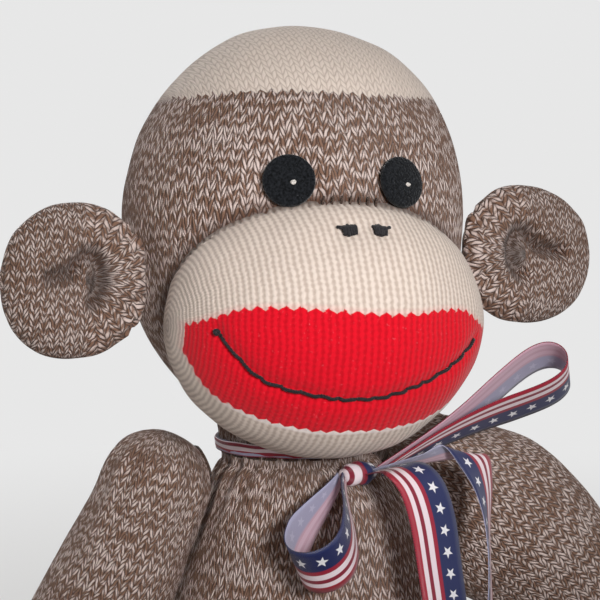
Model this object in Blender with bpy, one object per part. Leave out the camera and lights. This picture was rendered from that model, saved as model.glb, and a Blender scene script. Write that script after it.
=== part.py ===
"""Sock monkey doll, seated: stuffed knit pieces sewn together, with a ribbon tied round the neck.

Metres, +Z up. The doll faces -Y, its left side is +X, and it sits on the flat face round the origin.
"""
import math

import bmesh
import bpy
from mathutils import Matrix, Vector
from mathutils.bvhtree import BVHTree

# Cloth, thread and the spaces between pieces.
SKIN_THICKNESS = 0.0014
TOUCH_GAP = 0.0003
FILL_GAP = 0.0005
THREAD_RADIUS = 0.0005
CUT_OVERRUN = 0.02

# Head, an upright egg that turns on the ball at the neck.
WAIST_HEIGHT = 0.160
NECK_PIVOT_RISE = 0.014
NECK_PIVOT_HEIGHT = WAIST_HEIGHT + NECK_PIVOT_RISE
NECK_BALL_RADIUS = 0.024
HEAD_CENTRE_RISE = 0.058
HEAD_HALF_WIDTH = 0.054
HEAD_HALF_DEPTH = 0.050
HEAD_HALF_HEIGHT = 0.063
CAP_EDGE_RISE = 0.0385
FACE_SHIFT = -0.0025

# Muzzle, sewn on the front of the head.
MUZZLE_HALF_WIDTH = 0.0475
MUZZLE_HALF_DEPTH = 0.038
MUZZLE_HALF_HEIGHT = 0.039
MUZZLE_FORWARD = 0.032
MUZZLE_DROP = 0.027
MOUTH_TOP_ANGLE = math.radians(9)
MOUTH_BOTTOM_ANGLE = math.radians(-49)
MOUTH_END_ANGLE = math.radians(76)
SMILE_REACH = 0.039
SMILE_MIDDLE_ANGLE = math.radians(-29)
SMILE_END_ANGLE = math.radians(-6)
SMILE_THREAD_RADIUS = 0.0007
NOSTRIL_SPREAD = 0.0043
NOSTRIL_ANGLE = math.radians(43)
NOSTRIL_HALF_WIDTH = 0.0024
NOSTRIL_HALF_HEIGHT = 0.0019
NOSTRIL_HALF_THICKNESS = 0.0006
SEAM_EYE_CLEARANCE = 0.0012
SEAM_STITCH_REACH = 0.0017

# Eyes.
EYE_RADIUS = 0.0074
EYE_THICKNESS = 0.0016
EYE_SPREAD = 0.0165
EYE_RISE = 0.0130
SPARKLE_RADIUS = 0.0011
SPARKLE_SIDE_SHIFT = 0.0013
SPARKLE_DROP = 0.0009

# Ears, each hinged along the seam at the side of the head.
EAR_RISES = {"left": -0.0075, "right": -0.0145}
EAR_FORWARD = 0.015
EAR_REACHES = {"left": 0.0415, "right": 0.0375}
EAR_HALF_HEIGHT = 0.022
EAR_HALF_THICKNESS = 0.0082
EAR_ROOT_RADIUS = 0.0045
EAR_ROOT_HALF_HEIGHT = 0.013

# Body, a pear with a narrow neck.
TORSO_HALF_WIDTH = 0.050
TORSO_HALF_DEPTH = 0.044
WAIST_RADIUS = 0.022
TORSO_PROFILE_SHARES = (
    (0.0, 0.62), (0.03, 0.82), (0.09, 0.94), (0.19, 1.0), (0.33, 1.0), (0.48, 0.95),
    (0.62, 0.87), (0.74, 0.78), (0.83, 0.7), (0.9, 0.625), (0.95, 0.555), (0.985, 0.49),
)
NECK_ROUND_SHARE = 0.7
PATCH_TOP_ROW = 4
PATCH_HALF_ANGLE = math.radians(48)

# Arms.
SHOULDER_DROP = 0.006
SHOULDER_HEIGHT = WAIST_HEIGHT - SHOULDER_DROP
ARM_ROOT_RADIUS = 0.0178
ARM_LENGTH = 0.165
ARM_SHAPE_SHARES = {
    "left": (
        (0.0, 1.0), (0.1, 1.16), (0.22, 1.29), (0.36, 1.29), (0.52, 1.16), (0.7, 1.0), (0.93, 1.04), (1.0, 1.0),
    ),
    "right": (
        (0.0, 1.0), (0.12, 1.02), (0.27, 1.13), (0.42, 1.13), (0.57, 1.04), (0.71, 0.96), (0.93, 1.04), (1.0, 1.0),
    ),
}
ARM_CUFF_SHARE = 0.83
ARM_BENDS = {"left": (math.radians(62), math.radians(14)), "right": (math.radians(19), math.radians(52))}

# Legs, thighs forward, feet apart.
HIP_SPREAD = 0.0245
HIP_FORWARD = 0.036
HIP_LIFT = math.radians(20)
LEG_ROOT_RADIUS = 0.022
LEG_LENGTH = 0.185
LEG_SHAPE_SHARES = (
    (0.0, 1.0), (0.12, 1.0), (0.26, 1.07), (0.42, 1.09), (0.58, 1.0), (0.72, 0.9), (0.92, 0.97), (1.0, 1.0),
)
LEG_CUFF_SHARE = 0.82
LEG_BENDS = (math.radians(10), math.radians(15))

# Tail, curling on the floor behind.
TAIL_ROOT_RADIUS = 0.0105
TAIL_LENGTH = 0.170
TAIL_SHAPE_SHARES = ((0.0, 1.0), (0.2, 1.08), (0.4, 1.08), (0.6, 1.0), (1.0, 0.86))
TAIL_CUFF_SHARE = 0.8
TAIL_BENDS = (math.radians(0), math.radians(75))

# Rings of gathering stitches on the root balls, at the shoulders turned up from the seam on the body.
SHOULDER_RING_TURN = math.radians(45)
SHOULDER_RING_ANGLE = math.radians(16)
TAIL_RING_ANGLE = math.radians(9)

# Ribbon tied round the neck.
RIBBON_WIDTH = 0.0159
RIBBON_THICKNESS = 0.0005
BAND_HEIGHT = 0.0058
BAND_THICKNESS = 0.0012
COLLAR_CLEARANCE = 0.0012
KNOT_TURN = math.radians(19)
KNOT_DROP = 0.0042
KNOT_HALF_WIDTH = 0.0068
KNOT_HALF_DEPTH = 0.0042
KNOT_HALF_HEIGHT = 0.0031
LOOP_PINCH_SHARE = 0.26
LOOPS = {
    "left": {
        "length": 0.0665, "spread": 0.0125, "sharpness": 3,
        "along": (0.850, -0.200, 0.487), "wide": (-0.40, -0.68, 0.61),
    },
    "right": {
        "length": 0.0375, "spread": 0.0160, "sharpness": 1,
        "along": (-0.50, -0.66, -0.56), "wide": (0.44, 0.32, -0.84),
    },
}
TAIL_DROP = 0.062
TAIL_ROUTES = {
    "left": {
        "centre_shares": (
            (0.0, 0.0, 0.0), (0.20, -0.10, 0.08), (0.35, -0.16, 0.12), (0.44, -0.18, 0.07), (0.485, -0.20, -0.06),
            (0.49, -0.23, -0.25), (0.485, -0.26, -0.48), (0.475, -0.27, -0.72), (0.44, -0.27, -0.93),
        ),
        "wide_shares": (
            (0.10, 0.16, -0.10), (0.20, 0.30, -0.22), (0.72, 0.28, -0.30), (0.78, 0.34, 0.10), (0.62, 0.50, 0.08),
            (0.50, 0.74, -0.10), (0.50, 0.80, -0.12), (0.60, 0.74, -0.10), (0.70, 0.66, -0.06),
        ),
    },
    "right": {
        "centre_shares": (
            (0.0, 0.0, 0.0), (0.04, -0.12, 0.05), (0.10, -0.24, 0.07), (0.15, -0.315, 0.0), (0.19, -0.35, -0.15),
            (0.22, -0.37, -0.38), (0.26, -0.365, -0.62), (0.30, -0.34, -0.86), (0.31, -0.31, -1.0),
        ),
        "wide_shares": (
            (0.20, 0.03, 0.04), (0.45, 0.05, 0.10), (0.80, 0.10, 0.16), (0.92, 0.14, 0.14), (0.96, 0.14, 0.06),
            (0.96, 0.18, 0.0), (0.96, 0.20, -0.04), (0.96, 0.20, -0.06), (0.96, 0.20, -0.06),
        ),
    },
}

# Counts of faces.
HEAD_SIDES = 24
TORSO_SIDES = 24
PATCH_COLUMNS = 7
LIMB_SIDES = 10
TAIL_SIDES = 8
EAR_SIDES = 12
THREAD_SIDES = 5
RING_STEPS = 14
ROOT_ROW_ANGLES = (math.radians(14), math.radians(38), math.radians(64))
LOOP_STEPS = 26

COLOURS = {
    "marl": (0.42, 0.35, 0.30),
    "cream": (0.80, 0.74, 0.69),
    "red": (0.80, 0.02, 0.10),
    "black": (0.11, 0.11, 0.12),
    "white": (0.90, 0.88, 0.86),
    "brown_thread": (0.20, 0.14, 0.12),
    "filling": (0.93, 0.92, 0.90),
    "ribbon": (0.13, 0.16, 0.40),
}
ROUGHNESS = {"ribbon": 0.35, "black": 0.9}


# Materials and objects.

def to_linear(value):
    """Light value of one sRGB channel."""
    return value / 12.92 if value <= 0.04045 else ((value + 0.055) / 1.055) ** 2.4


def give_material(thing, colour):
    """Own Principled material for one object."""
    material = bpy.data.materials.new(thing.name)
    material.use_nodes = True
    shader = material.node_tree.nodes["Principled BSDF"]
    rgb = [to_linear(channel) for channel in COLOURS[colour]]
    shader.inputs["Base Color"].default_value = (*rgb, 1)
    shader.inputs["Roughness"].default_value = ROUGHNESS.get(colour, 0.85)
    shader.inputs["Metallic"].default_value = 0
    thing.data.materials.append(material)


def make_empty(name, place):
    """Frame that pieces hang on, with its origin on a joint."""
    empty = bpy.data.objects.new(name, None)
    empty.location = place
    bpy.context.scene.collection.objects.link(empty)
    return empty


def finish_object(name, mesh, colour, origin, parent, sharp=50):
    """Object from a bmesh whose points are given in the parent's frame."""
    bmesh.ops.recalc_face_normals(mesh, faces=mesh.faces)
    bmesh.ops.translate(mesh, vec=-Vector(origin), verts=mesh.verts)
    data = bpy.data.meshes.new(name)
    mesh.to_mesh(data)
    mesh.free()
    data.shade_smooth()
    data.set_sharp_from_angle(angle=math.radians(sharp))
    thing = bpy.data.objects.new(name, data)
    thing.location = origin
    thing.parent = parent
    bpy.context.scene.collection.objects.link(thing)
    if colour:
        give_material(thing, colour)
    else:
        thing.hide_render = True
        thing.display_type = "WIRE"
    return thing


def cut(thing, cutter):
    """Take the cutter's shape out of a piece."""
    modifier = thing.modifiers.new("cut_" + cutter.name, "BOOLEAN")
    modifier.operation = "DIFFERENCE"
    modifier.solver = "EXACT"
    modifier.object = cutter


# Surfaces given as rows of points. A row of one point is a pole.

def corner(layer, row, column):
    """Vertex of a row, whose columns go round."""
    points = layer[row]
    return points[column % len(points)]


def skin_mesh(outer, inner, keep):
    """Cloth between two surfaces, over the cells that keep accepts, with a wall round every open edge."""
    mesh = bmesh.new()
    layers = [[[mesh.verts.new(point) for point in row] for row in rows] for rows in (outer, inner)]
    sides = max(len(row) for row in outer)
    cells = {(i, j) for i in range(len(outer) - 1) for j in range(sides) if keep(i, j)}
    for i, j in cells:
        for layer in layers:
            loop = [corner(layer, i, j), corner(layer, i, j + 1), corner(layer, i + 1, j + 1), corner(layer, i + 1, j)]
            mesh.faces.new(list(dict.fromkeys(loop)))
        walls = {
            (i - 1, j): ((i, j), (i, j + 1)),
            (i + 1, j): ((i + 1, j), (i + 1, j + 1)),
            (i, (j - 1) % sides): ((i, j), (i + 1, j)),
            (i, (j + 1) % sides): ((i, j + 1), (i + 1, j + 1)),
        }
        for neighbour, (first, second) in walls.items():
            if neighbour in cells or corner(layers[0], *first) is corner(layers[0], *second):
                continue
            loop = [corner(layers[side], *end) for side, end in ((0, first), (0, second), (1, second), (1, first))]
            mesh.faces.new(loop)
    bmesh.ops.delete(mesh, geom=[v for v in mesh.verts if not v.link_faces], context="VERTS")
    return mesh


def solid_mesh(rows):
    """Closed solid inside one surface, with a flat end where a row isn't a pole."""
    mesh = bmesh.new()
    layer = [[mesh.verts.new(point) for point in row] for row in rows]
    sides = max(len(row) for row in rows)
    for i in range(len(rows) - 1):
        for j in range(sides):
            loop = [corner(layer, i, j), corner(layer, i, j + 1), corner(layer, i + 1, j + 1), corner(layer, i + 1, j)]
            mesh.faces.new(list(dict.fromkeys(loop)))
    for end in (layer[0], layer[-1]):
        if len(end) > 1:
            mesh.faces.new(end)
    return mesh


def surface_tree(rows):
    """Search tree of the facets between rows of points."""
    points, starts = [], []
    for row in rows:
        starts.append(len(points))
        points += row
    sides = max(len(row) for row in rows)
    facets = []
    for i in range(len(rows) - 1):
        for j in range(sides):
            loop = []
            for row, column in ((i, j), (i, j + 1), (i + 1, j + 1), (i + 1, j)):
                loop.append(starts[row] + column % len(rows[row]))
            facets.append(list(dict.fromkeys(loop)))
    return BVHTree.FromPolygons(points, facets)


def zone_reader(rows, columns, sides):
    """Tell the patch, the gap round it and the base cloth apart, cell by cell."""
    first_row, last_row = rows
    first_column, last_column = columns

    def zone(i, j):
        in_rows = first_row <= i < last_row
        in_columns = first_column <= j < last_column
        if in_rows and in_columns:
            return "patch"
        near_rows = first_row - 1 <= i <= last_row
        near_columns = (j - first_column + 1) % sides <= last_column - first_column + 1
        return "gap" if near_rows and near_columns else "base"

    return zone


def spaced(first, last, count):
    """Even steps from first to last, both included."""
    return [first + (last - first) * step / (count - 1) for step in range(count)]


def interpolate(table, share):
    """Value of a table of pairs at a share between its entries."""
    for (low, low_value), (high, high_value) in zip(table, table[1:]):
        if share <= high:
            return low_value + (high_value - low_value) * (share - low) / (high - low)
    return table[-1][1]


def sweep_frames(points):
    """Tangent of each point of a route."""
    tangents = []
    for index in range(len(points)):
        before = points[max(index - 1, 0)]
        after = points[min(index + 1, len(points) - 1)]
        tangents.append((after - before).normalized())
    return tangents


def tube_rows(points, radius, sides):
    """Rings of a round thread along a route, turned as little as possible."""
    tangents = sweep_frames(points)
    across = tangents[0].orthogonal().normalized()
    rows = []
    for point, tangent in zip(points, tangents):
        across = (across - tangent * across.dot(tangent)).normalized()
        side = tangent.cross(across)
        rows.append([
            point + (across * math.cos(turn) + side * math.sin(turn)) * radius
            for turn in spaced(0, math.tau, sides + 1)[:-1]
        ])
    return rows


def ring_mesh(centre, axis, ring_radius, thread_radius, steps):
    """Closed ring of thread."""
    axis = axis.normalized()
    across = axis.orthogonal().normalized()
    side = axis.cross(across)
    mesh = bmesh.new()
    rings = []
    for turn in spaced(0, math.tau, steps + 1)[:-1]:
        out = across * math.cos(turn) + side * math.sin(turn)
        middle = centre + out * ring_radius
        rings.append([
            mesh.verts.new(middle + (out * math.cos(lift) + axis * math.sin(lift)) * thread_radius)
            for lift in spaced(0, math.tau, THREAD_SIDES + 1)[:-1]
        ])
    for i in range(steps):
        for j in range(THREAD_SIDES):
            mesh.faces.new([
                corner(rings, i, j), corner(rings, i, j + 1),
                corner(rings, (i + 1) % steps, j + 1), corner(rings, (i + 1) % steps, j),
            ])
    return mesh


def egg_rows(centre, half, angles, sides, turn=None):
    """Rows of an egg from one end of its long axis, a pole at 0 and at half a turn."""
    rows = []
    for angle in angles:
        count = 1 if math.sin(angle) < 1e-6 else sides
        row = []
        for step in range(count):
            round_angle = math.tau * step / sides
            point = Vector((
                half[0] * math.sin(angle) * math.cos(round_angle),
                half[1] * math.sin(angle) * math.sin(round_angle),
                half[2] * math.cos(angle),
            ))
            row.append(Vector(centre) + (turn @ point if turn else point))
        rows.append(row)
    return rows


# Head.

HEAD_CENTRE = Vector((0, 0, HEAD_CENTRE_RISE))
HEAD_HALVES = Vector((HEAD_HALF_WIDTH, HEAD_HALF_DEPTH, HEAD_HALF_HEIGHT))
MUZZLE_CENTRE = HEAD_CENTRE + Vector((FACE_SHIFT, -MUZZLE_FORWARD, -MUZZLE_DROP))


def head_angles():
    """Angles from the crown, with a gap at the edge of the cap. The third value is the cap's last row."""
    top = math.acos((CAP_EDGE_RISE + TOUCH_GAP / 2) / HEAD_HALF_HEIGHT)
    bottom = math.acos((CAP_EDGE_RISE - TOUCH_GAP / 2) / HEAD_HALF_HEIGHT)
    cap = spaced(0, top, 5)
    rest = spaced(bottom, math.pi, 9)
    return cap + rest, len(cap) - 1


def head_rows(offset):
    """Head surface, offset inwards, in the frame of the neck pivot."""
    angles, _ = head_angles()
    half = HEAD_HALVES - Vector((offset, offset, offset))
    return egg_rows(HEAD_CENTRE, half, angles, HEAD_SIDES)


def head_surface(x, z):
    """Front point of the head at a side distance and a height over its centre."""
    share = 1 - (x / HEAD_HALF_WIDTH) ** 2 - (z / HEAD_HALF_HEIGHT) ** 2
    return HEAD_CENTRE + Vector((x, -HEAD_HALF_DEPTH * math.sqrt(max(share, 0)), z))


def head_normal(point):
    """Outward direction of the head at a point on it."""
    local = point - HEAD_CENTRE
    return Vector([local[axis] / HEAD_HALVES[axis] ** 2 for axis in range(3)]).normalized()


def build_head(frame):
    """Cap, main knit and filling, hollowed for the ball of the neck."""
    _, cap_row = head_angles()
    socket_rows = egg_rows(
        Vector((0, 0, 0)), Vector((1, 1, 1)) * (NECK_BALL_RADIUS + TOUCH_GAP) / math.cos(math.pi / HEAD_SIDES),
        spaced(0, math.pi, HEAD_SIDES // 2 + 1), HEAD_SIDES,
    )
    socket = finish_object("neck_socket_cutter", solid_mesh(socket_rows), None, (0, 0, 0), frame)
    outer, inner = head_rows(0), head_rows(SKIN_THICKNESS)
    cap = skin_mesh(outer, inner, lambda i, j: i < cap_row)
    finish_object("head_cap", cap, "cream", (0, 0, 0), frame)
    knit = finish_object("head_knit", skin_mesh(outer, inner, lambda i, j: i > cap_row), "marl", (0, 0, 0), frame)
    filling = solid_mesh(head_rows(SKIN_THICKNESS + FILL_GAP))
    stuffing = finish_object("head_stuffing", filling, "filling", (0, 0, 0), frame)
    cut(knit, socket)
    cut(stuffing, socket)


# Muzzle, with its long axis across the face.

def muzzle_columns():
    """Angles round the muzzle's long axis, up from straight ahead, and the columns of the mouth patch."""
    gap = TOUCH_GAP / MUZZLE_HALF_HEIGHT
    patch = spaced(MOUTH_BOTTOM_ANGLE + gap / 2, MOUTH_TOP_ANGLE - gap / 2, 4)
    rest = spaced(MOUTH_TOP_ANGLE + gap / 2, MOUTH_BOTTOM_ANGLE - gap / 2 + math.tau, 14)
    return patch + rest, (0, len(patch) - 1)


def muzzle_row_angles():
    """Angles along the muzzle from one end to the other, and the rows of the mouth patch."""
    gap = TOUCH_GAP / MUZZLE_HALF_WIDTH
    end = math.pi / 2 - MOUTH_END_ANGLE
    patch = spaced(end + gap, math.pi - end - gap, 8)
    return [0, end - gap] + patch + [math.pi - end + gap, math.pi], (2, 1 + len(patch))


def muzzle_point(along, up, offset=0):
    """Point at an angle from the muzzle's left end and an angle up from straight ahead."""
    return MUZZLE_CENTRE + Vector((
        (MUZZLE_HALF_WIDTH - offset) * math.cos(along),
        -(MUZZLE_HALF_DEPTH - offset) * math.sin(along) * math.cos(up),
        (MUZZLE_HALF_HEIGHT - offset) * math.sin(along) * math.sin(up),
    ))


def muzzle_normal(point):
    """Outward direction of the muzzle at a point on it."""
    local = point - MUZZLE_CENTRE
    half = (MUZZLE_HALF_WIDTH, MUZZLE_HALF_DEPTH, MUZZLE_HALF_HEIGHT)
    return Vector([local[axis] / half[axis] ** 2 for axis in range(3)]).normalized()


def muzzle_rows(offset):
    """Muzzle surface, offset inwards."""
    columns, _ = muzzle_columns()
    rows = []
    for along in muzzle_row_angles()[0]:
        ends = [columns[0]] if math.sin(along) < 1e-6 else columns
        rows.append([muzzle_point(along, up, offset) for up in ends])
    return rows


def band_outer_radius():
    """Outer radius of the ribbon round the neck."""
    return WAIST_RADIUS + 3 * TOUCH_GAP + 2 * THREAD_RADIUS + BAND_THICKNESS


def build_muzzle(frame):
    """Muzzle knit, red mouth patch and filling, cut to sit on the head and clear of the collar."""
    head_cutter = finish_object("head_cutter", solid_mesh(head_rows(-TOUCH_GAP)), None, (0, 0, 0), frame)
    drop = NECK_PIVOT_HEIGHT - WAIST_HEIGHT
    reach = math.hypot(band_outer_radius() + COLLAR_CLEARANCE, drop - BAND_HEIGHT / 2)
    collar_rows = egg_rows((0, 0, 0), (reach, reach, reach), spaced(0, math.pi, 9), HEAD_SIDES)
    collar_cutter = finish_object("collar_cutter", solid_mesh(collar_rows), None, (0, 0, 0), frame)
    columns, patch_columns = muzzle_columns()
    _, patch_rows = muzzle_row_angles()
    zone = zone_reader(patch_rows, patch_columns, len(columns))
    outer, inner = muzzle_rows(0), muzzle_rows(SKIN_THICKNESS)
    knit = skin_mesh(outer, inner, lambda i, j: zone(i, j) == "base")
    patch = skin_mesh(outer, inner, lambda i, j: zone(i, j) == "patch")
    filling = solid_mesh(muzzle_rows(SKIN_THICKNESS + FILL_GAP))
    pieces = (("muzzle_knit", knit, "cream"), ("mouth_patch", patch, "red"), ("muzzle_stuffing", filling, "filling"))
    for name, mesh, colour in pieces:
        piece = finish_object(name, mesh, colour, (0, 0, 0), frame)
        if name != "mouth_patch":
            cut(piece, head_cutter)
            cut(piece, collar_cutter)


def build_face_threads(frame):
    """Smile line, nostrils and the stitches along the muzzle's top edge."""
    lift = TOUCH_GAP + SMILE_THREAD_RADIUS
    smile = []
    for x in spaced(-SMILE_REACH, SMILE_REACH, 22):
        bend = (x / SMILE_REACH) ** 2
        up = SMILE_MIDDLE_ANGLE + (SMILE_END_ANGLE - SMILE_MIDDLE_ANGLE) * bend
        point = muzzle_point(math.acos(x / MUZZLE_HALF_WIDTH), up)
        smile.append(point + muzzle_normal(point) * lift)
    rows = tube_rows(smile, SMILE_THREAD_RADIUS, THREAD_SIDES)
    finish_object("mouth_line_thread", solid_mesh(rows), "black", (0, 0, 0), frame)
    tree = surface_tree(muzzle_rows(0))
    for side, sign in (("left", 1), ("right", -1)):
        point = muzzle_point(math.acos(sign * NOSTRIL_SPREAD / MUZZLE_HALF_WIDTH), NOSTRIL_ANGLE)
        outward = muzzle_normal(point)
        seat, normal, _, _ = tree.ray_cast(point + outward * MUZZLE_HALF_DEPTH, -outward)
        if normal.dot(outward) < 0:
            normal = -normal
        centre = seat + normal * (TOUCH_GAP + NOSTRIL_HALF_THICKNESS)
        turn = normal.to_track_quat("Z", "Y").to_matrix()
        half = (NOSTRIL_HALF_WIDTH, NOSTRIL_HALF_HEIGHT, NOSTRIL_HALF_THICKNESS)
        rows = egg_rows(centre, half, spaced(0, math.pi, 5), 8, turn)
        finish_object("nostril_" + side, solid_mesh(rows), "black", (0, 0, 0), frame)
    rows = tube_rows(seam_route(), THREAD_RADIUS, THREAD_SIDES)
    finish_object("muzzle_seam_thread", solid_mesh(rows), "brown_thread", (0, 0, 0), frame)


def sagitta(reach):
    """How far a curved face of the muzzle falls away within a reach."""
    return reach ** 2 / (2 * MUZZLE_HALF_DEPTH)


def seam_height(x):
    """Height over the head's centre at which the muzzle leaves the head."""
    low, high = -MUZZLE_DROP, HEAD_HALF_HEIGHT / 2
    for _ in range(40):
        middle = (low + high) / 2
        local = head_surface(x, middle) - MUZZLE_CENTRE
        reach = (
            (local.x / MUZZLE_HALF_WIDTH) ** 2 + (local.y / MUZZLE_HALF_DEPTH) ** 2
            + (local.z / MUZZLE_HALF_HEIGHT) ** 2
        )
        low, high = (middle, high) if reach < 1 else (low, middle)
    return low


def seam_route():
    """Whip stitch between the eyes that steps between the head and the muzzle."""
    lift = TOUCH_GAP + THREAD_RADIUS
    reach = EYE_SPREAD - EYE_RADIUS - SEAM_EYE_CLEARANCE
    points = []
    for index, x in enumerate(spaced(-reach, reach, 11)):
        height = seam_height(FACE_SHIFT + x)
        on_head = head_surface(FACE_SHIFT + x, height + SEAM_STITCH_REACH)
        if index % 2:
            points.append(on_head + head_normal(on_head) * (lift + sagitta(SEAM_STITCH_REACH)))
            continue
        local = head_surface(FACE_SHIFT + x, height) - MUZZLE_CENTRE
        along = math.acos(x / MUZZLE_HALF_WIDTH)
        up = math.atan2(local.z / MUZZLE_HALF_HEIGHT, -local.y / MUZZLE_HALF_DEPTH)
        on_muzzle = muzzle_point(along, up - SEAM_STITCH_REACH / MUZZLE_HALF_HEIGHT)
        points.append(on_muzzle + muzzle_normal(on_muzzle) * (lift + sagitta(SEAM_STITCH_REACH)))
    return points


def build_eyes(frame):
    """Felt discs and the knot of thread on each."""
    for side, sign in (("left", 1), ("right", -1)):
        on_head = head_surface(FACE_SHIFT + sign * EYE_SPREAD, EYE_RISE)
        normal = head_normal(on_head)
        turn = normal.to_track_quat("Z", "Y").to_matrix()
        rows = []
        for height in (TOUCH_GAP, TOUCH_GAP + EYE_THICKNESS):
            rows.append([
                on_head + turn @ Vector((EYE_RADIUS * math.cos(angle), EYE_RADIUS * math.sin(angle), height))
                for angle in spaced(0, math.tau, HEAD_SIDES + 1)[:-1]
            ])
        finish_object("eye_disc_" + side, solid_mesh(rows), "black", on_head, frame)
        across = Vector((1, 0, 0)) - normal * normal.x
        down = Vector((0, 0, -1)) + normal * normal.z
        centre = on_head + across * SPARKLE_SIDE_SHIFT + down * SPARKLE_DROP
        centre += normal * (2 * TOUCH_GAP + EYE_THICKNESS + SPARKLE_RADIUS)
        half = (SPARKLE_RADIUS, SPARKLE_RADIUS, SPARKLE_RADIUS)
        rows = egg_rows(centre, half, spaced(0, math.pi, 5), 8)
        finish_object("eye_sparkle_" + side, solid_mesh(rows), "white", on_head, frame)


# Ears.

EAR_SHAPE_SHARES = (
    (0.0, 0.66, 0.56), (0.2, 0.9, 0.84), (0.44, 1.0, 1.0), (0.68, 0.9, 0.95), (0.88, 0.6, 0.7), (0.97, 0.3, 0.35),
)


def ear_axis_place(sign, rise):
    """Point on the ear's seam axis, one root radius off the widest level of the head that the root reaches."""
    widest = min(0, rise + EAR_ROOT_HALF_HEIGHT)
    share = 1 - (EAR_FORWARD / HEAD_HALF_DEPTH) ** 2 - (widest / HEAD_HALF_HEIGHT) ** 2
    side = HEAD_HALF_WIDTH * math.sqrt(share) + TOUCH_GAP + EAR_ROOT_RADIUS
    return HEAD_CENTRE + Vector((sign * side, -EAR_FORWARD, rise))


def ear_rows(centre, sign, full_reach, offset):
    """Ear from its sewn root outwards, with a round root that can roll on the head."""
    root = EAR_ROOT_RADIUS - offset
    sections = []
    for angle in (math.radians(20), math.radians(50)):
        height = EAR_ROOT_HALF_HEIGHT * (0.8 + 0.2 * math.sin(angle)) - offset
        sections.append((-root * math.cos(angle), height, root * math.sin(angle)))
    for reach_share, height_share, thick_share in EAR_SHAPE_SHARES:
        thick = EAR_ROOT_RADIUS if reach_share == 0 else EAR_HALF_THICKNESS * thick_share
        reach = (full_reach - offset) * reach_share
        sections.append((reach, EAR_HALF_HEIGHT * height_share - offset, thick - offset))
    rows = [[centre + Vector((-sign * root, 0, 0))]]
    for out, height, thick in sections:
        row = []
        for angle in spaced(0, math.tau, EAR_SIDES + 1)[:-1]:
            row.append(centre + Vector((sign * out, thick * math.cos(angle), height * math.sin(angle))))
        rows.append(row)
    rows.append([centre + Vector((sign * (full_reach - offset), 0, 0))])
    return rows


def build_ears(frame):
    """Ear cloth, open along the seam, and its thin filling."""
    for side, sign in (("left", 1), ("right", -1)):
        place = ear_axis_place(sign, EAR_RISES[side])
        outer = ear_rows(place, sign, EAR_REACHES[side], 0)
        inner = ear_rows(place, sign, EAR_REACHES[side], SKIN_THICKNESS)
        cloth = skin_mesh(outer, inner, lambda i, j: i > 0)
        finish_object("ear_" + side, cloth, "marl", place, frame)
        filling = solid_mesh(ear_rows(place, sign, EAR_REACHES[side], SKIN_THICKNESS + FILL_GAP))
        finish_object("ear_stuffing_" + side, filling, "filling", place, frame)


# Body.

def torso_levels():
    """Height, half width and half depth of each level, up to the gathered neck."""
    flat = TORSO_HALF_DEPTH / TORSO_HALF_WIDTH
    levels = []
    for height_share, width_share in TORSO_PROFILE_SHARES:
        roundness = max(0, (height_share - NECK_ROUND_SHARE) / (1 - NECK_ROUND_SHARE))
        width = TORSO_HALF_WIDTH * width_share
        levels.append((WAIST_HEIGHT * height_share, width, width * (flat + (1 - flat) * roundness)))
    waist_top = NECK_PIVOT_HEIGHT - NECK_BALL_RADIUS * math.sin(math.acos(WAIST_RADIUS / NECK_BALL_RADIUS))
    levels.append((WAIST_HEIGHT, WAIST_RADIUS, WAIST_RADIUS))
    levels.append((waist_top, WAIST_RADIUS, WAIST_RADIUS))
    return levels


def torso_columns():
    """Angles round the body from its left side, and the columns of the seat patch at the back."""
    gap = TOUCH_GAP / TORSO_HALF_DEPTH
    first, last = math.pi / 2 - PATCH_HALF_ANGLE, math.pi / 2 + PATCH_HALF_ANGLE
    patch = spaced(first + gap / 2, last - gap / 2, PATCH_COLUMNS)
    rest = spaced(last + gap / 2, math.tau + first - gap / 2, TORSO_SIDES + 2 - PATCH_COLUMNS)
    return patch + rest, (0, len(patch) - 1)


def torso_rows(offset):
    """Body surface with the ball of the neck on top, offset inwards."""
    columns, _ = torso_columns()
    rings = []
    for index, (height, width, depth) in enumerate(torso_levels()):
        if index in (1, PATCH_TOP_ROW + 1):
            rings.append((height + TOUCH_GAP, width, depth))
        rings.append((height, width, depth))
    rings.sort(key=lambda ring: ring[0])
    rows = [[Vector((0, 0, offset))]]
    for height, width, depth in rings:
        rows.append([
            Vector(((width - offset) * math.cos(turn), (depth - offset) * math.sin(turn), max(height, offset)))
            for turn in columns
        ])
    radius = NECK_BALL_RADIUS - offset
    for angle in spaced(0, math.pi / 2, 5)[:-1]:
        rows.append([
            Vector((
                radius * math.cos(angle) * math.cos(turn), radius * math.cos(angle) * math.sin(turn),
                NECK_PIVOT_HEIGHT + radius * math.sin(angle),
            ))
            for turn in columns
        ])
    rows.append([Vector((0, 0, NECK_PIVOT_HEIGHT + radius))])
    return rows


def patch_row_range():
    """Rows of the seat patch, from just over the flat seat."""
    return 3, PATCH_TOP_ROW + 3


def hip_height():
    """Height of the hip axis, so that the lowest facets of the thigh lie on the floor."""
    return LEG_ROOT_RADIUS * math.cos(math.pi / LIMB_SIDES)


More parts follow.
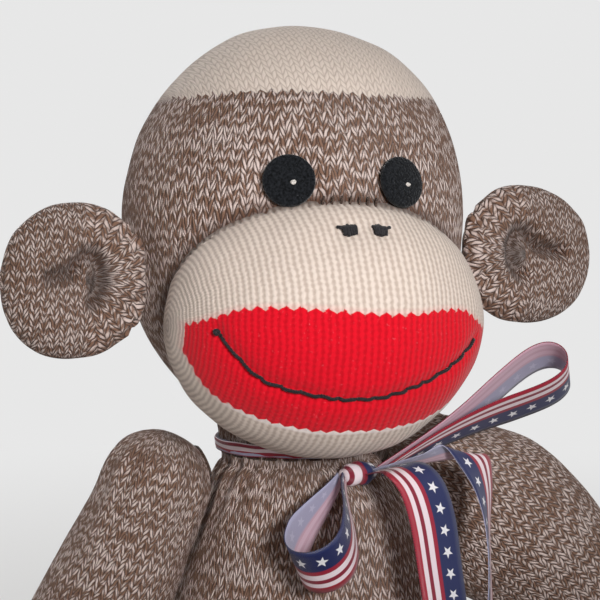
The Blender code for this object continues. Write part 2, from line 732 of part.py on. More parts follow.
def build_body():
    """Body knit, red seat patch and filling, with a step that leaves the thighs room to lift."""
    arc = spaced(0, math.pi / 2 - HIP_LIFT, 7)
    radius = (LEG_ROOT_RADIUS + TOUCH_GAP) / math.cos((arc[1] - arc[0]) / 2)
    outline = [(-HIP_FORWARD + radius, -CUT_OVERRUN)]
    outline += [(-HIP_FORWARD + radius * math.cos(angle), hip_height() + radius * math.sin(angle)) for angle in arc]
    far = -TORSO_HALF_DEPTH - CUT_OVERRUN
    last_y, last_z = outline[-1]
    outline += [(far, last_z + (last_y - far) * math.tan(HIP_LIFT)), (far, -CUT_OVERRUN)]
    half = TORSO_HALF_WIDTH + CUT_OVERRUN
    rows = [[Vector((x, y, z)) for y, z in outline] for x in (-half, half)]
    step = finish_object("thigh_step_cutter", solid_mesh(rows), None, (0, 0, 0), None)
    columns, patch_columns = torso_columns()
    zone = zone_reader(patch_row_range(), patch_columns, len(columns))
    outer, inner = torso_rows(0), torso_rows(SKIN_THICKNESS)
    knit = skin_mesh(outer, inner, lambda i, j: zone(i, j) == "base")
    patch = skin_mesh(outer, inner, lambda i, j: zone(i, j) == "patch")
    body = finish_object("body_knit", knit, "marl", (0, 0, 0), None)
    finish_object("seat_patch", patch, "red", (0, 0, 0), None)
    filling = solid_mesh(torso_rows(SKIN_THICKNESS + FILL_GAP))
    stuffing = finish_object("body_stuffing", filling, "filling", (0, 0, 0), None)
    cut(body, step)
    cut(stuffing, step)


def seat_on_body(height, radius, reach_index):
    """Distance from the body's axis at which a ball at a height just touches it, and where it touches."""
    levels = torso_levels()
    best, touch = 0, None
    for low, high in zip(levels, levels[1:]):
        for share in spaced(0, 1, 9):
            level = low[0] + (high[0] - low[0]) * share
            reach = low[reach_index] + (high[reach_index] - low[reach_index]) * share
            if abs(level - height) >= radius:
                continue
            distance = reach + math.sqrt(radius ** 2 - (level - height) ** 2)
            if distance > best:
                best, touch = distance, (reach, level)
    return best, touch


# Limbs.

def limb_route(start, along, across, bends, length, shares):
    """Points and directions of a limb whose direction turns evenly from along towards across."""
    first, last = bends
    rate = (last - first) / length
    stations = []
    for share in shares:
        turn = first + rate * length * share
        sideways = (math.cos(first) - math.cos(turn)) / rate
        forward = (math.sin(turn) - math.sin(first)) / rate
        direction = along * math.cos(turn) + across * math.sin(turn)
        stations.append((start + along * forward + across * sideways, direction))
    return stations


def limb_stations(shape, cuff_share, length):
    """Length shares of the rings, with a gap at the cuff, and the index of the gap."""
    half_gap = TOUCH_GAP / length / 2
    shares = sorted([share for share, _ in shape] + [cuff_share - half_gap, cuff_share + half_gap])
    return shares, shares.index(cuff_share - half_gap)


def limb_rows(limb, offset):
    """Stuffed limb from its round root to its round end, offset inwards."""
    shares, _ = limb_stations(limb["shape"], limb["cuff"], limb["length"])
    route = limb_route(limb["start"], limb["along"], limb["across"], limb["bends"], limb["length"], shares)
    steady, sides = limb["steady"], limb["sides"]
    half_step = math.pi / sides
    rings = []
    root = limb["radius"] - offset
    for angle in ROOT_ROW_ANGLES:
        rings.append((route[0][0] - route[0][1] * root * math.cos(angle), route[0][1], root * math.sin(angle), root))
    for share, (point, direction) in zip(shares, route):
        radius = limb["radius"] * interpolate(limb["shape"], share)
        rings.append((point, direction, radius - offset, radius))
    end_point, end_direction = route[-1]
    end = limb["radius"] * limb["shape"][-1][1]
    for angle in (math.radians(35), math.radians(65)):
        point = end_point + end_direction * (end - offset) * math.sin(angle)
        rings.append((point, end_direction, (end - offset) * math.cos(angle), end))
    rows = []
    for point, direction, radius, full in rings:
        lift = (full - limb["radius"]) * math.cos(half_step) if limb["on_floor"] and full != root else 0
        side = direction.cross(steady)
        middle = point + Vector((0, 0, lift))
        rows.append([
            middle + (steady * math.cos(turn) + side * math.sin(turn)) * radius
            for turn in [half_step + 2 * half_step * step for step in range(sides)]
        ])
    first_pole = route[0][0] - route[0][1] * root
    last_lift = (end - limb["radius"]) * math.cos(half_step) if limb["on_floor"] else 0
    last_pole = end_point + end_direction * (end - offset) + Vector((0, 0, last_lift))
    return [[first_pole]] + rows + [[last_pole]]


def build_limb(limb):
    """Main cloth, end cloth and filling of one limb."""
    _, gap_index = limb_stations(limb["shape"], limb["cuff"], limb["length"])
    gap_row = gap_index + 1 + len(ROOT_ROW_ANGLES)
    outer, inner = limb_rows(limb, 0), limb_rows(limb, SKIN_THICKNESS)
    main = skin_mesh(outer, inner, lambda i, j: 0 < i < gap_row)
    end = skin_mesh(outer, inner, lambda i, j: i > gap_row)
    filling = solid_mesh(limb_rows(limb, SKIN_THICKNESS + FILL_GAP))
    main_name, end_name, filling_name = limb["names"]
    frame = make_empty(limb["joint"], limb["start"])
    for name, mesh, colour in ((main_name, main, "marl"), (end_name, end, "cream"), (filling_name, filling, "filling")):
        bmesh.ops.translate(mesh, vec=-limb["start"], verts=mesh.verts)
        finish_object(name, mesh, colour, (0, 0, 0), frame)


def seam_ring(name, limb, towards, angle):
    """Ring of stitches on a limb's root, at an angle round one of the directions from its centre."""
    centre = limb["start"]
    tree = surface_tree(limb_rows(limb, 0))
    across = towards.orthogonal().normalized()
    side = towards.cross(across)
    reach = 0
    for turn in spaced(0, math.tau, 4 * RING_STEPS):
        out = towards * math.cos(angle) + (across * math.cos(turn) + side * math.sin(turn)) * math.sin(angle)
        seat = tree.ray_cast(centre + out * limb["length"], -out)[0]
        reach = max(reach, (seat - centre).length)
    out = reach + TOUCH_GAP + THREAD_RADIUS
    middle = centre + towards * out * math.cos(angle)
    mesh = ring_mesh(middle, towards, out * math.sin(angle), THREAD_RADIUS, RING_STEPS)
    finish_object(name, mesh, "brown_thread", centre, None)


def shoulder_place(sign):
    """Centre of the shoulder ball and the direction from it to the body."""
    reach, touch = seat_on_body(SHOULDER_HEIGHT, ARM_ROOT_RADIUS + TOUCH_GAP, 1)
    centre = Vector((sign * reach, 0, SHOULDER_HEIGHT))
    return centre, (Vector((sign * touch[0], 0, touch[1])) - centre).normalized()


def build_arms():
    """Arms sewn on at the shoulders."""
    for side, sign in (("left", 1), ("right", -1)):
        centre, towards = shoulder_place(sign)
        arm = {
            "names": ("arm_" + side, "hand_" + side, "arm_stuffing_" + side), "joint": "shoulder_" + side,
            "start": centre, "along": Vector((0, 0, -1)), "across": Vector((sign, 0, 0)),
            "steady": Vector((0, 1, 0)), "bends": ARM_BENDS[side], "length": ARM_LENGTH,
            "shape": ARM_SHAPE_SHARES[side], "cuff": ARM_CUFF_SHARE, "radius": ARM_ROOT_RADIUS,
            "sides": LIMB_SIDES, "on_floor": False,
        }
        build_limb(arm)
        upright = (Vector((0, 0, 1)) - towards * towards.z).normalized()
        gather = towards * math.cos(SHOULDER_RING_TURN) + upright * math.sin(SHOULDER_RING_TURN)
        seam_ring("shoulder_stitches_" + side, arm, gather, SHOULDER_RING_ANGLE)


def build_legs():
    """Legs that turn at the hips."""
    for side, sign in (("left", 1), ("right", -1)):
        build_limb({
            "names": ("leg_" + side, "foot_" + side, "leg_stuffing_" + side), "joint": "hip_" + side,
            "start": Vector((sign * HIP_SPREAD, -HIP_FORWARD, hip_height())),
            "along": Vector((0, -1, 0)), "across": Vector((sign, 0, 0)),
            "steady": Vector((0, 0, 1)), "bends": LEG_BENDS, "length": LEG_LENGTH,
            "shape": LEG_SHAPE_SHARES, "cuff": LEG_CUFF_SHARE, "radius": LEG_ROOT_RADIUS,
            "sides": LIMB_SIDES, "on_floor": True,
        })


def tail_place():
    """Centre of the tail's root ball, which leaves room for its stitches, and the direction from it to the body."""
    height = TAIL_ROOT_RADIUS * math.cos(math.pi / TAIL_SIDES)
    reach, touch = seat_on_body(height, TAIL_ROOT_RADIUS + 2 * TOUCH_GAP + 2 * THREAD_RADIUS, 2)
    centre = Vector((0, reach, height))
    return centre, (Vector((0, touch[0], touch[1])) - centre).normalized()


def build_tail():
    """Tail sewn on low at the back."""
    centre, towards = tail_place()
    tail = {
        "names": ("tail", "tail_tip", "tail_stuffing"), "joint": "tail_root",
        "start": centre, "along": Vector((0, 1, 0)), "across": Vector((-1, 0, 0)),
        "steady": Vector((0, 0, 1)), "bends": TAIL_BENDS, "length": TAIL_LENGTH,
        "shape": TAIL_SHAPE_SHARES, "cuff": TAIL_CUFF_SHARE, "radius": TAIL_ROOT_RADIUS,
        "sides": TAIL_SIDES, "on_floor": True,
    }
    build_limb(tail)
    seam_ring("tail_stitches", tail, towards, TAIL_RING_ANGLE)


# Ribbon and the gathering thread of the neck.

def band_middle():
    """Height of the middle of the ribbon round the neck."""
    return WAIST_HEIGHT + TOUCH_GAP + BAND_HEIGHT / 2


def knot_place():
    """Centre of the knot, in front of the ribbon round the neck and a little under it."""
    reach = band_outer_radius() + TOUCH_GAP + KNOT_HALF_DEPTH
    return Vector((reach * math.sin(KNOT_TURN), -reach * math.cos(KNOT_TURN), band_middle() - KNOT_DROP))


def strip_mesh(centres, wides, thickness):
    """Ribbon along a route, each wide vector running from its middle to its blue edge."""
    tangents = sweep_frames(centres)
    rows = []
    for centre, wide, tangent in zip(centres, wides, tangents):
        face = tangent.cross(wide).normalized() * thickness / 2
        rows.append([centre - wide + face, centre + wide + face, centre + wide - face, centre - wide - face])
    return solid_mesh(rows)


def loop_strip(loop, start):
    """Drop-shaped loop of ribbon that is pinched where it meets the knot."""
    along = Vector(loop["along"]).normalized()
    wide = Vector(loop["wide"])
    wide = (wide - along * wide.dot(along)).normalized()
    across = along.cross(wide)
    sharpness = loop["sharpness"]
    fullest = (sharpness + 0.5) / (sharpness + 1)
    peak = math.sqrt(fullest * (1 - fullest)) * fullest ** sharpness
    gap = TOUCH_GAP + RIBBON_THICKNESS
    centres, wides = [], []
    for step in range(LOOP_STEPS + 1):
        turn = math.tau * step / LOOP_STEPS
        reach = (1 - math.cos(turn)) / 2
        swell = math.sin(turn) / 2 * reach ** sharpness / peak * loop["spread"] / 2
        split = gap * (1 if step < LOOP_STEPS / 2 else -1) * (1 - reach)
        centres.append(start + along * loop["length"] * reach + across * (swell + split))
        pinch = LOOP_PINCH_SHARE + (1 - LOOP_PINCH_SHARE) * min(1, reach * 1.6)
        wides.append(wide * RIBBON_WIDTH / 2 * pinch)
    return strip_mesh(centres, wides, RIBBON_THICKNESS)


def tail_strip(route, start):
    """Free end of the ribbon that hangs over the chest."""
    centres = [start + Vector(share) * TAIL_DROP for share in route["centre_shares"]]
    wides = [Vector(share) * RIBBON_WIDTH / 2 for share in route["wide_shares"]]
    return strip_mesh(centres, wides, RIBBON_THICKNESS)


def build_ribbon():
    """Gathering thread, ribbon round the neck, knot, loops and ends."""
    pivot = make_empty("neck_turn", (0, 0, NECK_PIVOT_HEIGHT))
    drop = Vector((0, 0, NECK_PIVOT_HEIGHT))
    thread_radius = WAIST_RADIUS + TOUCH_GAP + THREAD_RADIUS
    thread = ring_mesh(Vector((0, 0, band_middle())) - drop, Vector((0, 0, 1)), thread_radius, THREAD_RADIUS, 20)
    finish_object("neck_gather_thread", thread, "brown_thread", (0, 0, 0), pivot)
    outer = band_outer_radius()
    inner = outer - BAND_THICKNESS
    corners = ((inner, -1), (outer, -1), (outer, 1), (inner, 1))
    mesh = bmesh.new()
    rings = []
    for turn in spaced(0, math.tau, HEAD_SIDES + 1)[:-1]:
        rings.append([
            mesh.verts.new((
                radius * math.cos(turn), radius * math.sin(turn),
                band_middle() + half * BAND_HEIGHT / 2 - NECK_PIVOT_HEIGHT,
            ))
            for radius, half in corners
        ])
    for i in range(HEAD_SIDES):
        after = (i + 1) % HEAD_SIDES
        for j in range(4):
            mesh.faces.new([corner(rings, i, j), corner(rings, i, j + 1), corner(rings, after, j + 1), corner(rings, after, j)])
    finish_object("ribbon_neck_band", mesh, "ribbon", (0, 0, 0), pivot)
    place = knot_place() - drop
    turn = Matrix.Rotation(KNOT_TURN, 3, "Z")
    half = (KNOT_HALF_WIDTH, KNOT_HALF_DEPTH, KNOT_HALF_HEIGHT)
    knot = solid_mesh(egg_rows(place, half, spaced(0, math.pi, 7), 12, turn))
    finish_object("ribbon_knot", knot, "ribbon", (0, 0, 0), pivot)
    gap = TOUCH_GAP + RIBBON_THICKNESS
    for side, sign in (("left", 1), ("right", -1)):
        start = place + turn @ Vector((sign * (KNOT_HALF_WIDTH + gap), -KNOT_HALF_DEPTH / 3, 0))
        finish_object("ribbon_loop_" + side, loop_strip(LOOPS[side], start), "ribbon", (0, 0, 0), pivot)
        low = place + turn @ Vector((sign * KNOT_HALF_WIDTH / 3, -KNOT_HALF_DEPTH - gap, 0))
        finish_object("ribbon_tail_" + side, tail_strip(TAIL_ROUTES[side], low), "ribbon", (0, 0, 0), pivot)


def build_doll():
    """The whole doll."""
    for thing in list(bpy.data.objects):
        bpy.data.objects.remove(thing, do_unlink=True)
    head_frame = make_empty("head_nod", (0, 0, NECK_PIVOT_HEIGHT))
    build_head(head_frame)
    build_muzzle(head_frame)
    build_face_threads(head_frame)
    build_eyes(head_frame)
    build_ears(head_frame)
    build_body()
    build_arms()
    build_legs()
    build_tail()
    build_ribbon()


build_doll()
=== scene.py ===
# %% [markdown]
# # Dressing a sock monkey doll
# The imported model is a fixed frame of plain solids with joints. Each part of this lesson dresses one of
# them in what it is on the real doll: stuffed knitting, felt, thread or satin ribbon.
# Lengths are in metres. The doll faces -Y and sits on the floor at Z = 0.

# %% Load the frame
from math import acos, asin, atan2, cos, degrees, exp, hypot, pi, radians, sin, sqrt, tan, tau

import bmesh
import bpy
from mathutils import Matrix, Vector, noise


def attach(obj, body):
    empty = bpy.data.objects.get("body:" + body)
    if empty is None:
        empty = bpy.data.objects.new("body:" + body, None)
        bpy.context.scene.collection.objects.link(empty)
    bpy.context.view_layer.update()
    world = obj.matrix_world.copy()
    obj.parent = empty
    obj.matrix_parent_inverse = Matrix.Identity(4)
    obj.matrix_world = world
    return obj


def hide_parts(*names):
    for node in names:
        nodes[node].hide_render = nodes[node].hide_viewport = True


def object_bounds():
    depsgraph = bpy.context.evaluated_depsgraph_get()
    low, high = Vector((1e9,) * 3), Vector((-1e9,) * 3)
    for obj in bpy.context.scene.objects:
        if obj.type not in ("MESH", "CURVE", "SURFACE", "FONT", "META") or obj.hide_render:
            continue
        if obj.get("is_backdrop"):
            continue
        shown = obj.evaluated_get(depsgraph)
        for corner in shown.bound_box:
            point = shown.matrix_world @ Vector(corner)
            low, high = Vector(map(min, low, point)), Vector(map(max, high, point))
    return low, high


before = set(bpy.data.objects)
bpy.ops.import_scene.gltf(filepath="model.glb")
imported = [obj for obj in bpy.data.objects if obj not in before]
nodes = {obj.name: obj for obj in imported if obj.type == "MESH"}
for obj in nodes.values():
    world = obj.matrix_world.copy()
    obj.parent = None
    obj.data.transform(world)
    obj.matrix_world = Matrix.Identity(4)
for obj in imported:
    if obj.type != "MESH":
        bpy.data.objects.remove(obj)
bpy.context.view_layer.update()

# %% [markdown]
# ## Camera
# The photograph looks at the face from 21 degrees to the doll's right, level with the head. The
# camera's place, line of sight and lens were fitted to the outlines of head, ears and muzzle.

# %% Place the camera
CAMERA_PLACE = Vector((-0.15051, -0.39168, 0.22832))
CAMERA_VIEW = Vector((0.3626, 0.9309, -0.0436)).normalized()
CAMERA_LENS = 80.22


def add_object(name, data):
    """New object in the scene."""
    thing = bpy.data.objects.new(name, data)
    bpy.context.scene.collection.objects.link(thing)
    return thing


camera_right = CAMERA_VIEW.cross(Vector((0, 0, 1))).normalized()
camera_up = camera_right.cross(CAMERA_VIEW)
camera_data = bpy.data.cameras.new("camera")
camera_data.lens, camera_data.sensor_width = CAMERA_LENS, 36
camera = add_object("camera", camera_data)
turned = Matrix((camera_right, camera_up, -CAMERA_VIEW)).transposed()
camera.matrix_world = Matrix.Translation(CAMERA_PLACE) @ turned.to_4x4()
bpy.context.scene.camera = camera
bpy.context.scene.view_settings.view_transform = "Standard"
print("camera at", [round(value, 3) for value in CAMERA_PLACE])

# %% [markdown]
# ## Shader maths as Python
# A material is a network of nodes. Wiring sums by hand is slow to read, so a Number stands for a
# socket and turns + - * / into Math nodes. A Bench holds the material that the nodes belong to.

# %% Numbers and the bench
def maths(operation, swapped=False):
    """Method of a Number that wires it and other terms into a Math node."""
    def method(number, *others):
        terms = (*others, number) if swapped else (number, *others)
        return number.bench.add("ShaderNodeMath", dict(enumerate(terms)), operation=operation)

    return method


class Number:
    """A value that varies over a surface. Arithmetic on it adds Math nodes."""

    def __init__(self, bench, socket):
        self.bench, self.socket = bench, socket

    __add__, __radd__ = maths("ADD"), maths("ADD", True)
    __sub__, __rsub__ = maths("SUBTRACT"), maths("SUBTRACT", True)
    __mul__, __rmul__ = maths("MULTIPLY"), maths("MULTIPLY", True)
    __truediv__, root, floor, fract = maths("DIVIDE"), maths("SQRT"), maths("FLOOR"), maths("FRACT")
    absolute, sine, arctan = maths("ABSOLUTE"), maths("SINE"), maths("ARCTAN2")
    least, most = maths("MINIMUM"), maths("MAXIMUM")

    def square(self):
        return self * self

    def step(self, low, high):
        """0 below low, 1 above high and a soft slope between them."""
        inputs = {0: self, 1: low, 2: high}
        return self.bench.add("ShaderNodeMapRange", inputs, interpolation_type="SMOOTHSTEP")


class Bench:
    """One material and the nodes made for it."""

    def __init__(self, name, **constants):
        self.material = bpy.data.materials.new(name)
        self.material.use_nodes = True
        self.tree = self.material.node_tree
        self.shader = self.tree.nodes["Principled BSDF"]
        for socket, value in constants.items():
            self.shader.inputs[socket.replace("_", " ")].default_value = value

    def add(self, kind, inputs, output=0, **settings):
        """Any node: its type, the values or links of its sockets, and its settings."""
        node = self.tree.nodes.new(kind)
        for setting, value in settings.items():
            setattr(node, setting, value)
        for place, value in inputs.items():
            if isinstance(value, Number):
                self.tree.links.new(value.socket, node.inputs[place])
            else:
                node.inputs[place].default_value = value
        return Number(self, node.outputs[output])

    def pack(self, x, y, z=0.0):
        return self.add("ShaderNodeCombineXYZ", {0: x, 1: y, 2: z})

    def split(self, vector):
        x = self.add("ShaderNodeSeparateXYZ", {0: vector})
        return x, *(Number(self, x.socket.node.outputs[axis]) for axis in (1, 2))

    def map(self, name):
        return self.add("ShaderNodeUVMap", {}, uv_map=name)

    def mark(self, name):
        """Attribute of the piece."""
        return self.add("ShaderNodeAttribute", {}, "Fac", attribute_name=name)

    def place(self):
        return self.add("ShaderNodeTexCoord", {}, "Object")

    def cloud(self, vector, scale, detail, seed):
        inputs = {"Vector": vector, "W": seed, "Scale": scale, "Detail": detail}
        return self.add("ShaderNodeTexNoise", inputs, noise_dimensions="4D")

    def chance(self, x, y, z=0.0):
        return self.add("ShaderNodeTexWhiteNoise", {"Vector": self.pack(x, y, z)}, noise_dimensions="3D")

    def mix(self, share, first, second):
        """Colour between two colours."""
        return self.add("ShaderNodeMix", {0: share, 6: first, 7: second}, 2, data_type="RGBA")

    def finish(self, colour, height, distance, roughness=None):
        """Feed the shader's colour and its surface relief."""
        normal = self.add("ShaderNodeBump", {"Strength": 1.0, "Distance": distance, "Height": height})
        for socket, value in (("Base Color", colour), ("Normal", normal), ("Roughness", roughness)):
            if value is not None:
                self.tree.links.new(value.socket, self.shader.inputs[socket])
        return self.material


def linear(red, green, blue):
    """Screen colour, 0 to 255, as the linear values that a shader works in."""
    shares = [value / 255 for value in (red, green, blue)]
    values = [s / 12.92 if s <= 0.04045 else ((s + 0.055) / 1.055) ** 2.4 for s in shares]
    return (*values, 1.0)


print("shader maths ready")

# %% [markdown]
# ## Knitting
# A sock is stockinette: columns of V-shaped stitches, called wales, stacked in rows, called courses.
# The pattern could be an image, but an image blurs close up. Here every stitch is worked out in the
# piece's own stitch map, whose u counts wales and whose v counts courses, so that a stitch has its
# true size wherever the cloth bends. Each leg of a V is a slanted lens, high in its middle.

# %% One stitch
STITCH_MAP = "stitches"


def stitch_field(bench, lean, girth, drift=0.7):
    """Height of the yarn, and where in which stitch a point lies.

    lean is how steep the legs of a V are, girth the yarn's share of a course and drift how far the
    rows and wales wander.
    """
    spot = bench.map(STITCH_MAP)
    u, v, _ = bench.split(spot)
    u = u + (bench.cloud(spot, 0.16, 2, 3) - 0.5) * drift + (bench.cloud(spot, 1.6, 1, 4) - 0.5) * 0.16
    v = v + (bench.cloud(spot, 0.2, 2, 9) - 0.5) * drift * 2 + (bench.cloud(spot, 1.2, 1, 6) - 0.5) * 0.7
    leg = (u * 2).floor()
    aside = (u.fract() - 0.5).absolute()
    slanted = v - aside * lean
    row = slanted.floor()
    across = slanted - row - 0.5
    width = (1 - (across * (2 / girth)).square()).most(0.0)
    length = (1 - ((aside - 0.25) / 0.26).square()).most(0.0)
    fibres = bench.cloud(spot, 7.0, 3, 5)
    bead = (aside * tau).sine().square() * 0.75 + (across * pi + pi / 2).sine().square() * 0.25
    fuzz = (fibres - 0.5) * 0.5
    return {
        "u": u, "v": v, "aside": aside, "row": row, "across": across, "lens": (width * length).root() + fuzz,
        "bead": bead + fuzz, "chance": bench.chance(leg, row, 4), "fibres": fibres,
    }


# %% [markdown]
# ## Marled, cream and red yarn
# Marled yarn is a cream strand and a brown strand twisted together. Along a leg of a stitch one strand
# lies beside the other, and over many courses chance gathers the brown in short level streaks. A sock's
# toe and cuff are cream courses, and its heel is red, knitted into the same cloth: the yarn changes
# between one stitch and the next, so the borders are rows of small teeth. A piece with a heel carries
# its distance to the border as an attribute, and another attribute paints shade into the cloth along
# the muzzle's seam, with the seam's small stitches, and in the ears' creases.

# %% Yarn colours
# The shade attribute and its depth: painted shade beside the muzzle's seam and in the ears' creases.
PAINTED_SHADE, PAINTED_SHADE_DEPTH, BORDER, TOOTH = "painted_shade", 0.8, "heel_border", 0.0011
# Each gap colour is the yarn deep between the strands, darkened by painted shade.
CREAM = linear(231, 215, 203)
CREAM_GAP_SHADE = linear(195, 176, 163)
MARL_LIGHT = linear(229, 208, 200)
MARL_BROWN = linear(140, 107, 89)
MARL_GAP_SHADE = linear(82, 54, 41)
RED = linear(226, 8, 34)
RED_GAP_SHADE = linear(198, 0, 24)
# The muzzle's seam colour: its small brown stitches with painted shade beside the head.
SEAM_STITCHES_AND_SHADE = linear(72, 52, 44)
KNIT_SHADER = {"Roughness": 0.92, "Sheen_Weight": 0.12, "Sheen_Roughness": 0.5, "Specular_IOR_Level": 0.2}


def heel_share(bench, stitch, start):
    """Distance into the red heel, and 1 where the yarn is red."""
    border = bench.mark(BORDER)
    ragged = border - stitch["aside"] * (2 * TOOTH) + (stitch["chance"] - 0.5) * 0.0005
    return border, ragged.step(start, start + 0.0004)


def cream_yarn(bench, stitch, shape):
    """Height and colour of plain cream stitches, with painted shade in the gaps between them."""
    height = stitch[shape] * (0.85 + stitch["chance"] * 0.3)
    return height, bench.mix(height.step(0.0, 0.9), CREAM_GAP_SHADE, CREAM)


def marl_knit(name, limit=None):
    """Marled cloth, with cream courses beyond a limit if one is given."""
    bench = Bench(name, **KNIT_SHADER)
    stitch = stitch_field(bench, lean=3.3, girth=0.92)
    level = bench.pack(stitch["u"] * 0.28, stitch["row"] * 0.9, 2.0)
    streak = bench.cloud(level, 1.0, 2, 1)
    wider = bench.pack(stitch["u"] * 0.07, stitch["row"] * 0.45, 5.0)
    broad = bench.cloud(wider, 1.0, 2, 7)
    turn = stitch["across"] * 5.0 + stitch["aside"] * 12.5 + stitch["chance"] * tau
    strand = turn.sine() + (streak - 0.5) * 4.6 + (broad - 0.5) * 3.4 + (stitch["fibres"] - 0.5) * 2.4
    light = strand.step(-0.7, 1.0)
    yarn = bench.mix(light, MARL_BROWN, MARL_LIGHT)
    # Painted shade: the yarn darkens to the gap colour between the strands.
    raised = stitch["lens"].step(0.0, 0.85)
    colour = bench.mix(raised, MARL_GAP_SHADE, yarn)
    _, heel = heel_share(bench, stitch, 0.0003)
    # The red heel, with painted shade in its gaps.
    colour = bench.mix(heel, colour, bench.mix(raised, RED_GAP_SHADE, RED))
    relief = stitch["lens"] + light * 0.15
    if limit is not None:
        height, pale = cream_yarn(bench, stitch_field(bench, lean=1.8, girth=1.0, drift=0.5), "lens")
        end = (stitch["v"] - stitch["aside"] * 1.1 + 0.3 - limit).step(-0.06, 0.06)
        colour = bench.mix(end, colour, pale)
        relief = relief * (1 - end) + height * end * 0.35
    # Painted shade where the shade attribute is set: beside the muzzle's seam and in the ears' creases.
    colour = bench.mix(bench.mark(PAINTED_SHADE) * PAINTED_SHADE_DEPTH, colour, MARL_GAP_SHADE)
    return bench.finish(colour, relief, 0.0006)


def mouth_knit(name):
    """Cream cloth with the red mouth in it. The cream next to the red is tinged by it."""
    bench = Bench(name, **KNIT_SHADER)
    stitch = stitch_field(bench, lean=0.9, girth=1.0, drift=0.45)
    border, red = heel_share(bench, stitch, -0.0002)
    height, pale = cream_yarn(bench, stitch, "bead")
    pale = bench.mix(border.step(-0.0016, 0.0004) * 0.22, pale, linear(240, 130, 130))
    _, _, level = bench.split(bench.place())
    tips = border.step(-0.0014, -0.0002) * (1 - level.step(0.180, 0.190))
    pale = bench.mix(tips * 0.7, pale, linear(252, 244, 240))
    # Painted shade in the red's gaps.
    hot = bench.mix(height.step(0.0, 0.8), RED_GAP_SHADE, RED)
    lint = bench.cloud(bench.place(), 1400, 2, 2).step(0.62, 0.8)
    hot = bench.mix(lint * 0.4, hot, linear(250, 120, 130))
    colour = bench.mix(red, pale, hot)
    # Painted shade, with the seam's brown stitches, on the muzzle beside the head.
    colour = bench.mix(bench.mark(PAINTED_SHADE) * PAINTED_SHADE_DEPTH, colour, SEAM_STITCHES_AND_SHADE)
    return bench.finish(colour, height * (1 - red * 0.3), 0.0002)


marl, mouth_yarns = marl_knit("marled yarn"), mouth_knit("cream yarn with a red mouth")
print("knits:", marl.name, "|", mouth_yarns.name)

# %% [markdown]
# ## Wrapping cloth round a form
# Real stuffed pieces start as a flat knitted sheet that is sewn into a tube, closed and filled.
# wrap does the same: it takes a flat grid, counts its stitches while it is flat, lays it round a form,
# closes its seam and ends, and then presses in the dents and folds along the cloth's own normals.

# %% Wrap
FLOOR_GAP = 0.0002


def curve(table, share):
    """Smooth value of a table of pairs at a share between its first and last entries."""
    last = len(table) - 2
    index = next((i for i in range(last) if share < table[i + 1][0]), last)
    (low, start), (high, end) = table[index], table[index + 1]
    span = high - low
    before = table[max(index - 1, 0)]
    after = table[min(index + 2, last + 1)]
    leave = (end - before[1]) * (span / (high - before[0]))
    arrive = (after[1] - start) * (span / (after[0] - low))
    t = min(max((share - low) / span, 0), 1)
    ease = t * t * (3 - 2 * t)
    return start * (1 - ease) + end * ease + leave * (t * (1 - t) ** 2) - arrive * (t * t * (1 - t))


def near(distance, reach):
    """Soft bump of height 1 that fades with distance."""
    return exp(-((distance / reach) ** 2))


def bump(point, middle, reach):
    """Soft bump of height 1 round a place."""
    return near((point - Vector(middle)).length, reach)


def lumps(point, size):
    """Slow unevenness of a filling, about -1 to 1."""
    return noise.noise(point / size) + 0.5 * noise.noise(point * 2.3 / size)


def wrap(name, counts, steps, place, relief, knit):
    """Closed stuffed piece. counts is its wales round and its courses along, steps the grid's.

    place gives the point of the form at a turn round it and a share along it, each from 0 to 1.
    relief gives how far the cloth stands off that point.
    """
    cloth = bmesh.new()
    bmesh.ops.create_grid(cloth, x_segments=steps[0], y_segments=steps[1], size=0.5)
    stitches = cloth.loops.layers.uv.new(STITCH_MAP)
    turn, along = [cloth.verts.layers.float.new(layer) for layer in ("turn", "along")]
    for face in cloth.faces:
        for loop in face.loops:
            loop[stitches].uv = ((loop.vert.co.x + 0.5) * counts[0], (loop.vert.co.y + 0.5) * counts[1])
    for vert in cloth.verts:
        vert[turn], vert[along] = vert.co.x + 0.5, vert.co.y + 0.5
        vert.co = place(vert[turn], vert[along])
    bmesh.ops.remove_doubles(cloth, verts=cloth.verts, dist=1e-6)
    bmesh.ops.recalc_face_normals(cloth, faces=cloth.faces)
    if cloth.calc_volume(signed=True) < 0:
        bmesh.ops.reverse_faces(cloth, faces=cloth.faces)
    cloth.normal_update()
    moves = [vert.normal * relief(vert.co, vert[turn], vert[along]) for vert in cloth.verts]
    for vert, move in zip(cloth.verts, moves):
        vert.co += move
        vert.co.z = max(vert.co.z, FLOOR_GAP)
    return make_piece(name, cloth, [knit])


def note(piece, name, measure):
    """Attribute of a piece worked out at each of its points."""
    values = piece.data.attributes.new(name, "FLOAT", "POINT").data
    for value, vert in zip(values, piece.data.vertices):
        value.value = measure(vert.co)


def make_piece(name, mesh, materials):
    """Smooth object of a finished mesh, at the origin."""
    data = bpy.data.meshes.new(name)
    for face in mesh.faces:
        face.smooth = True
    mesh.to_mesh(data)
    mesh.free()
    for material in materials:
        data.materials.append(material)
    return add_object(name, data)


def dress(piece, body, slot, *hidden):
    """Let a piece move with its body and stand for CAD nodes. Its slot is not used."""
    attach(piece, body)
    if hidden:
        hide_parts(*hidden)
    print(piece.name, "with", len(piece.data.polygons), "faces on", body)


# %% [markdown]
# ## Head
# The head is the toe end of the sock: a cream toe cap over marled knitting, stuffed hard, with the
# wales running down from the crown. It is one egg wrapped from crown to neck. Below, the cloth turns
# in over the ball of the neck. The eyes, ears and neck pull the cloth in where they are sewn. In the
# toe the wales don't meet in a point: they run side by side up to the seam across its top.

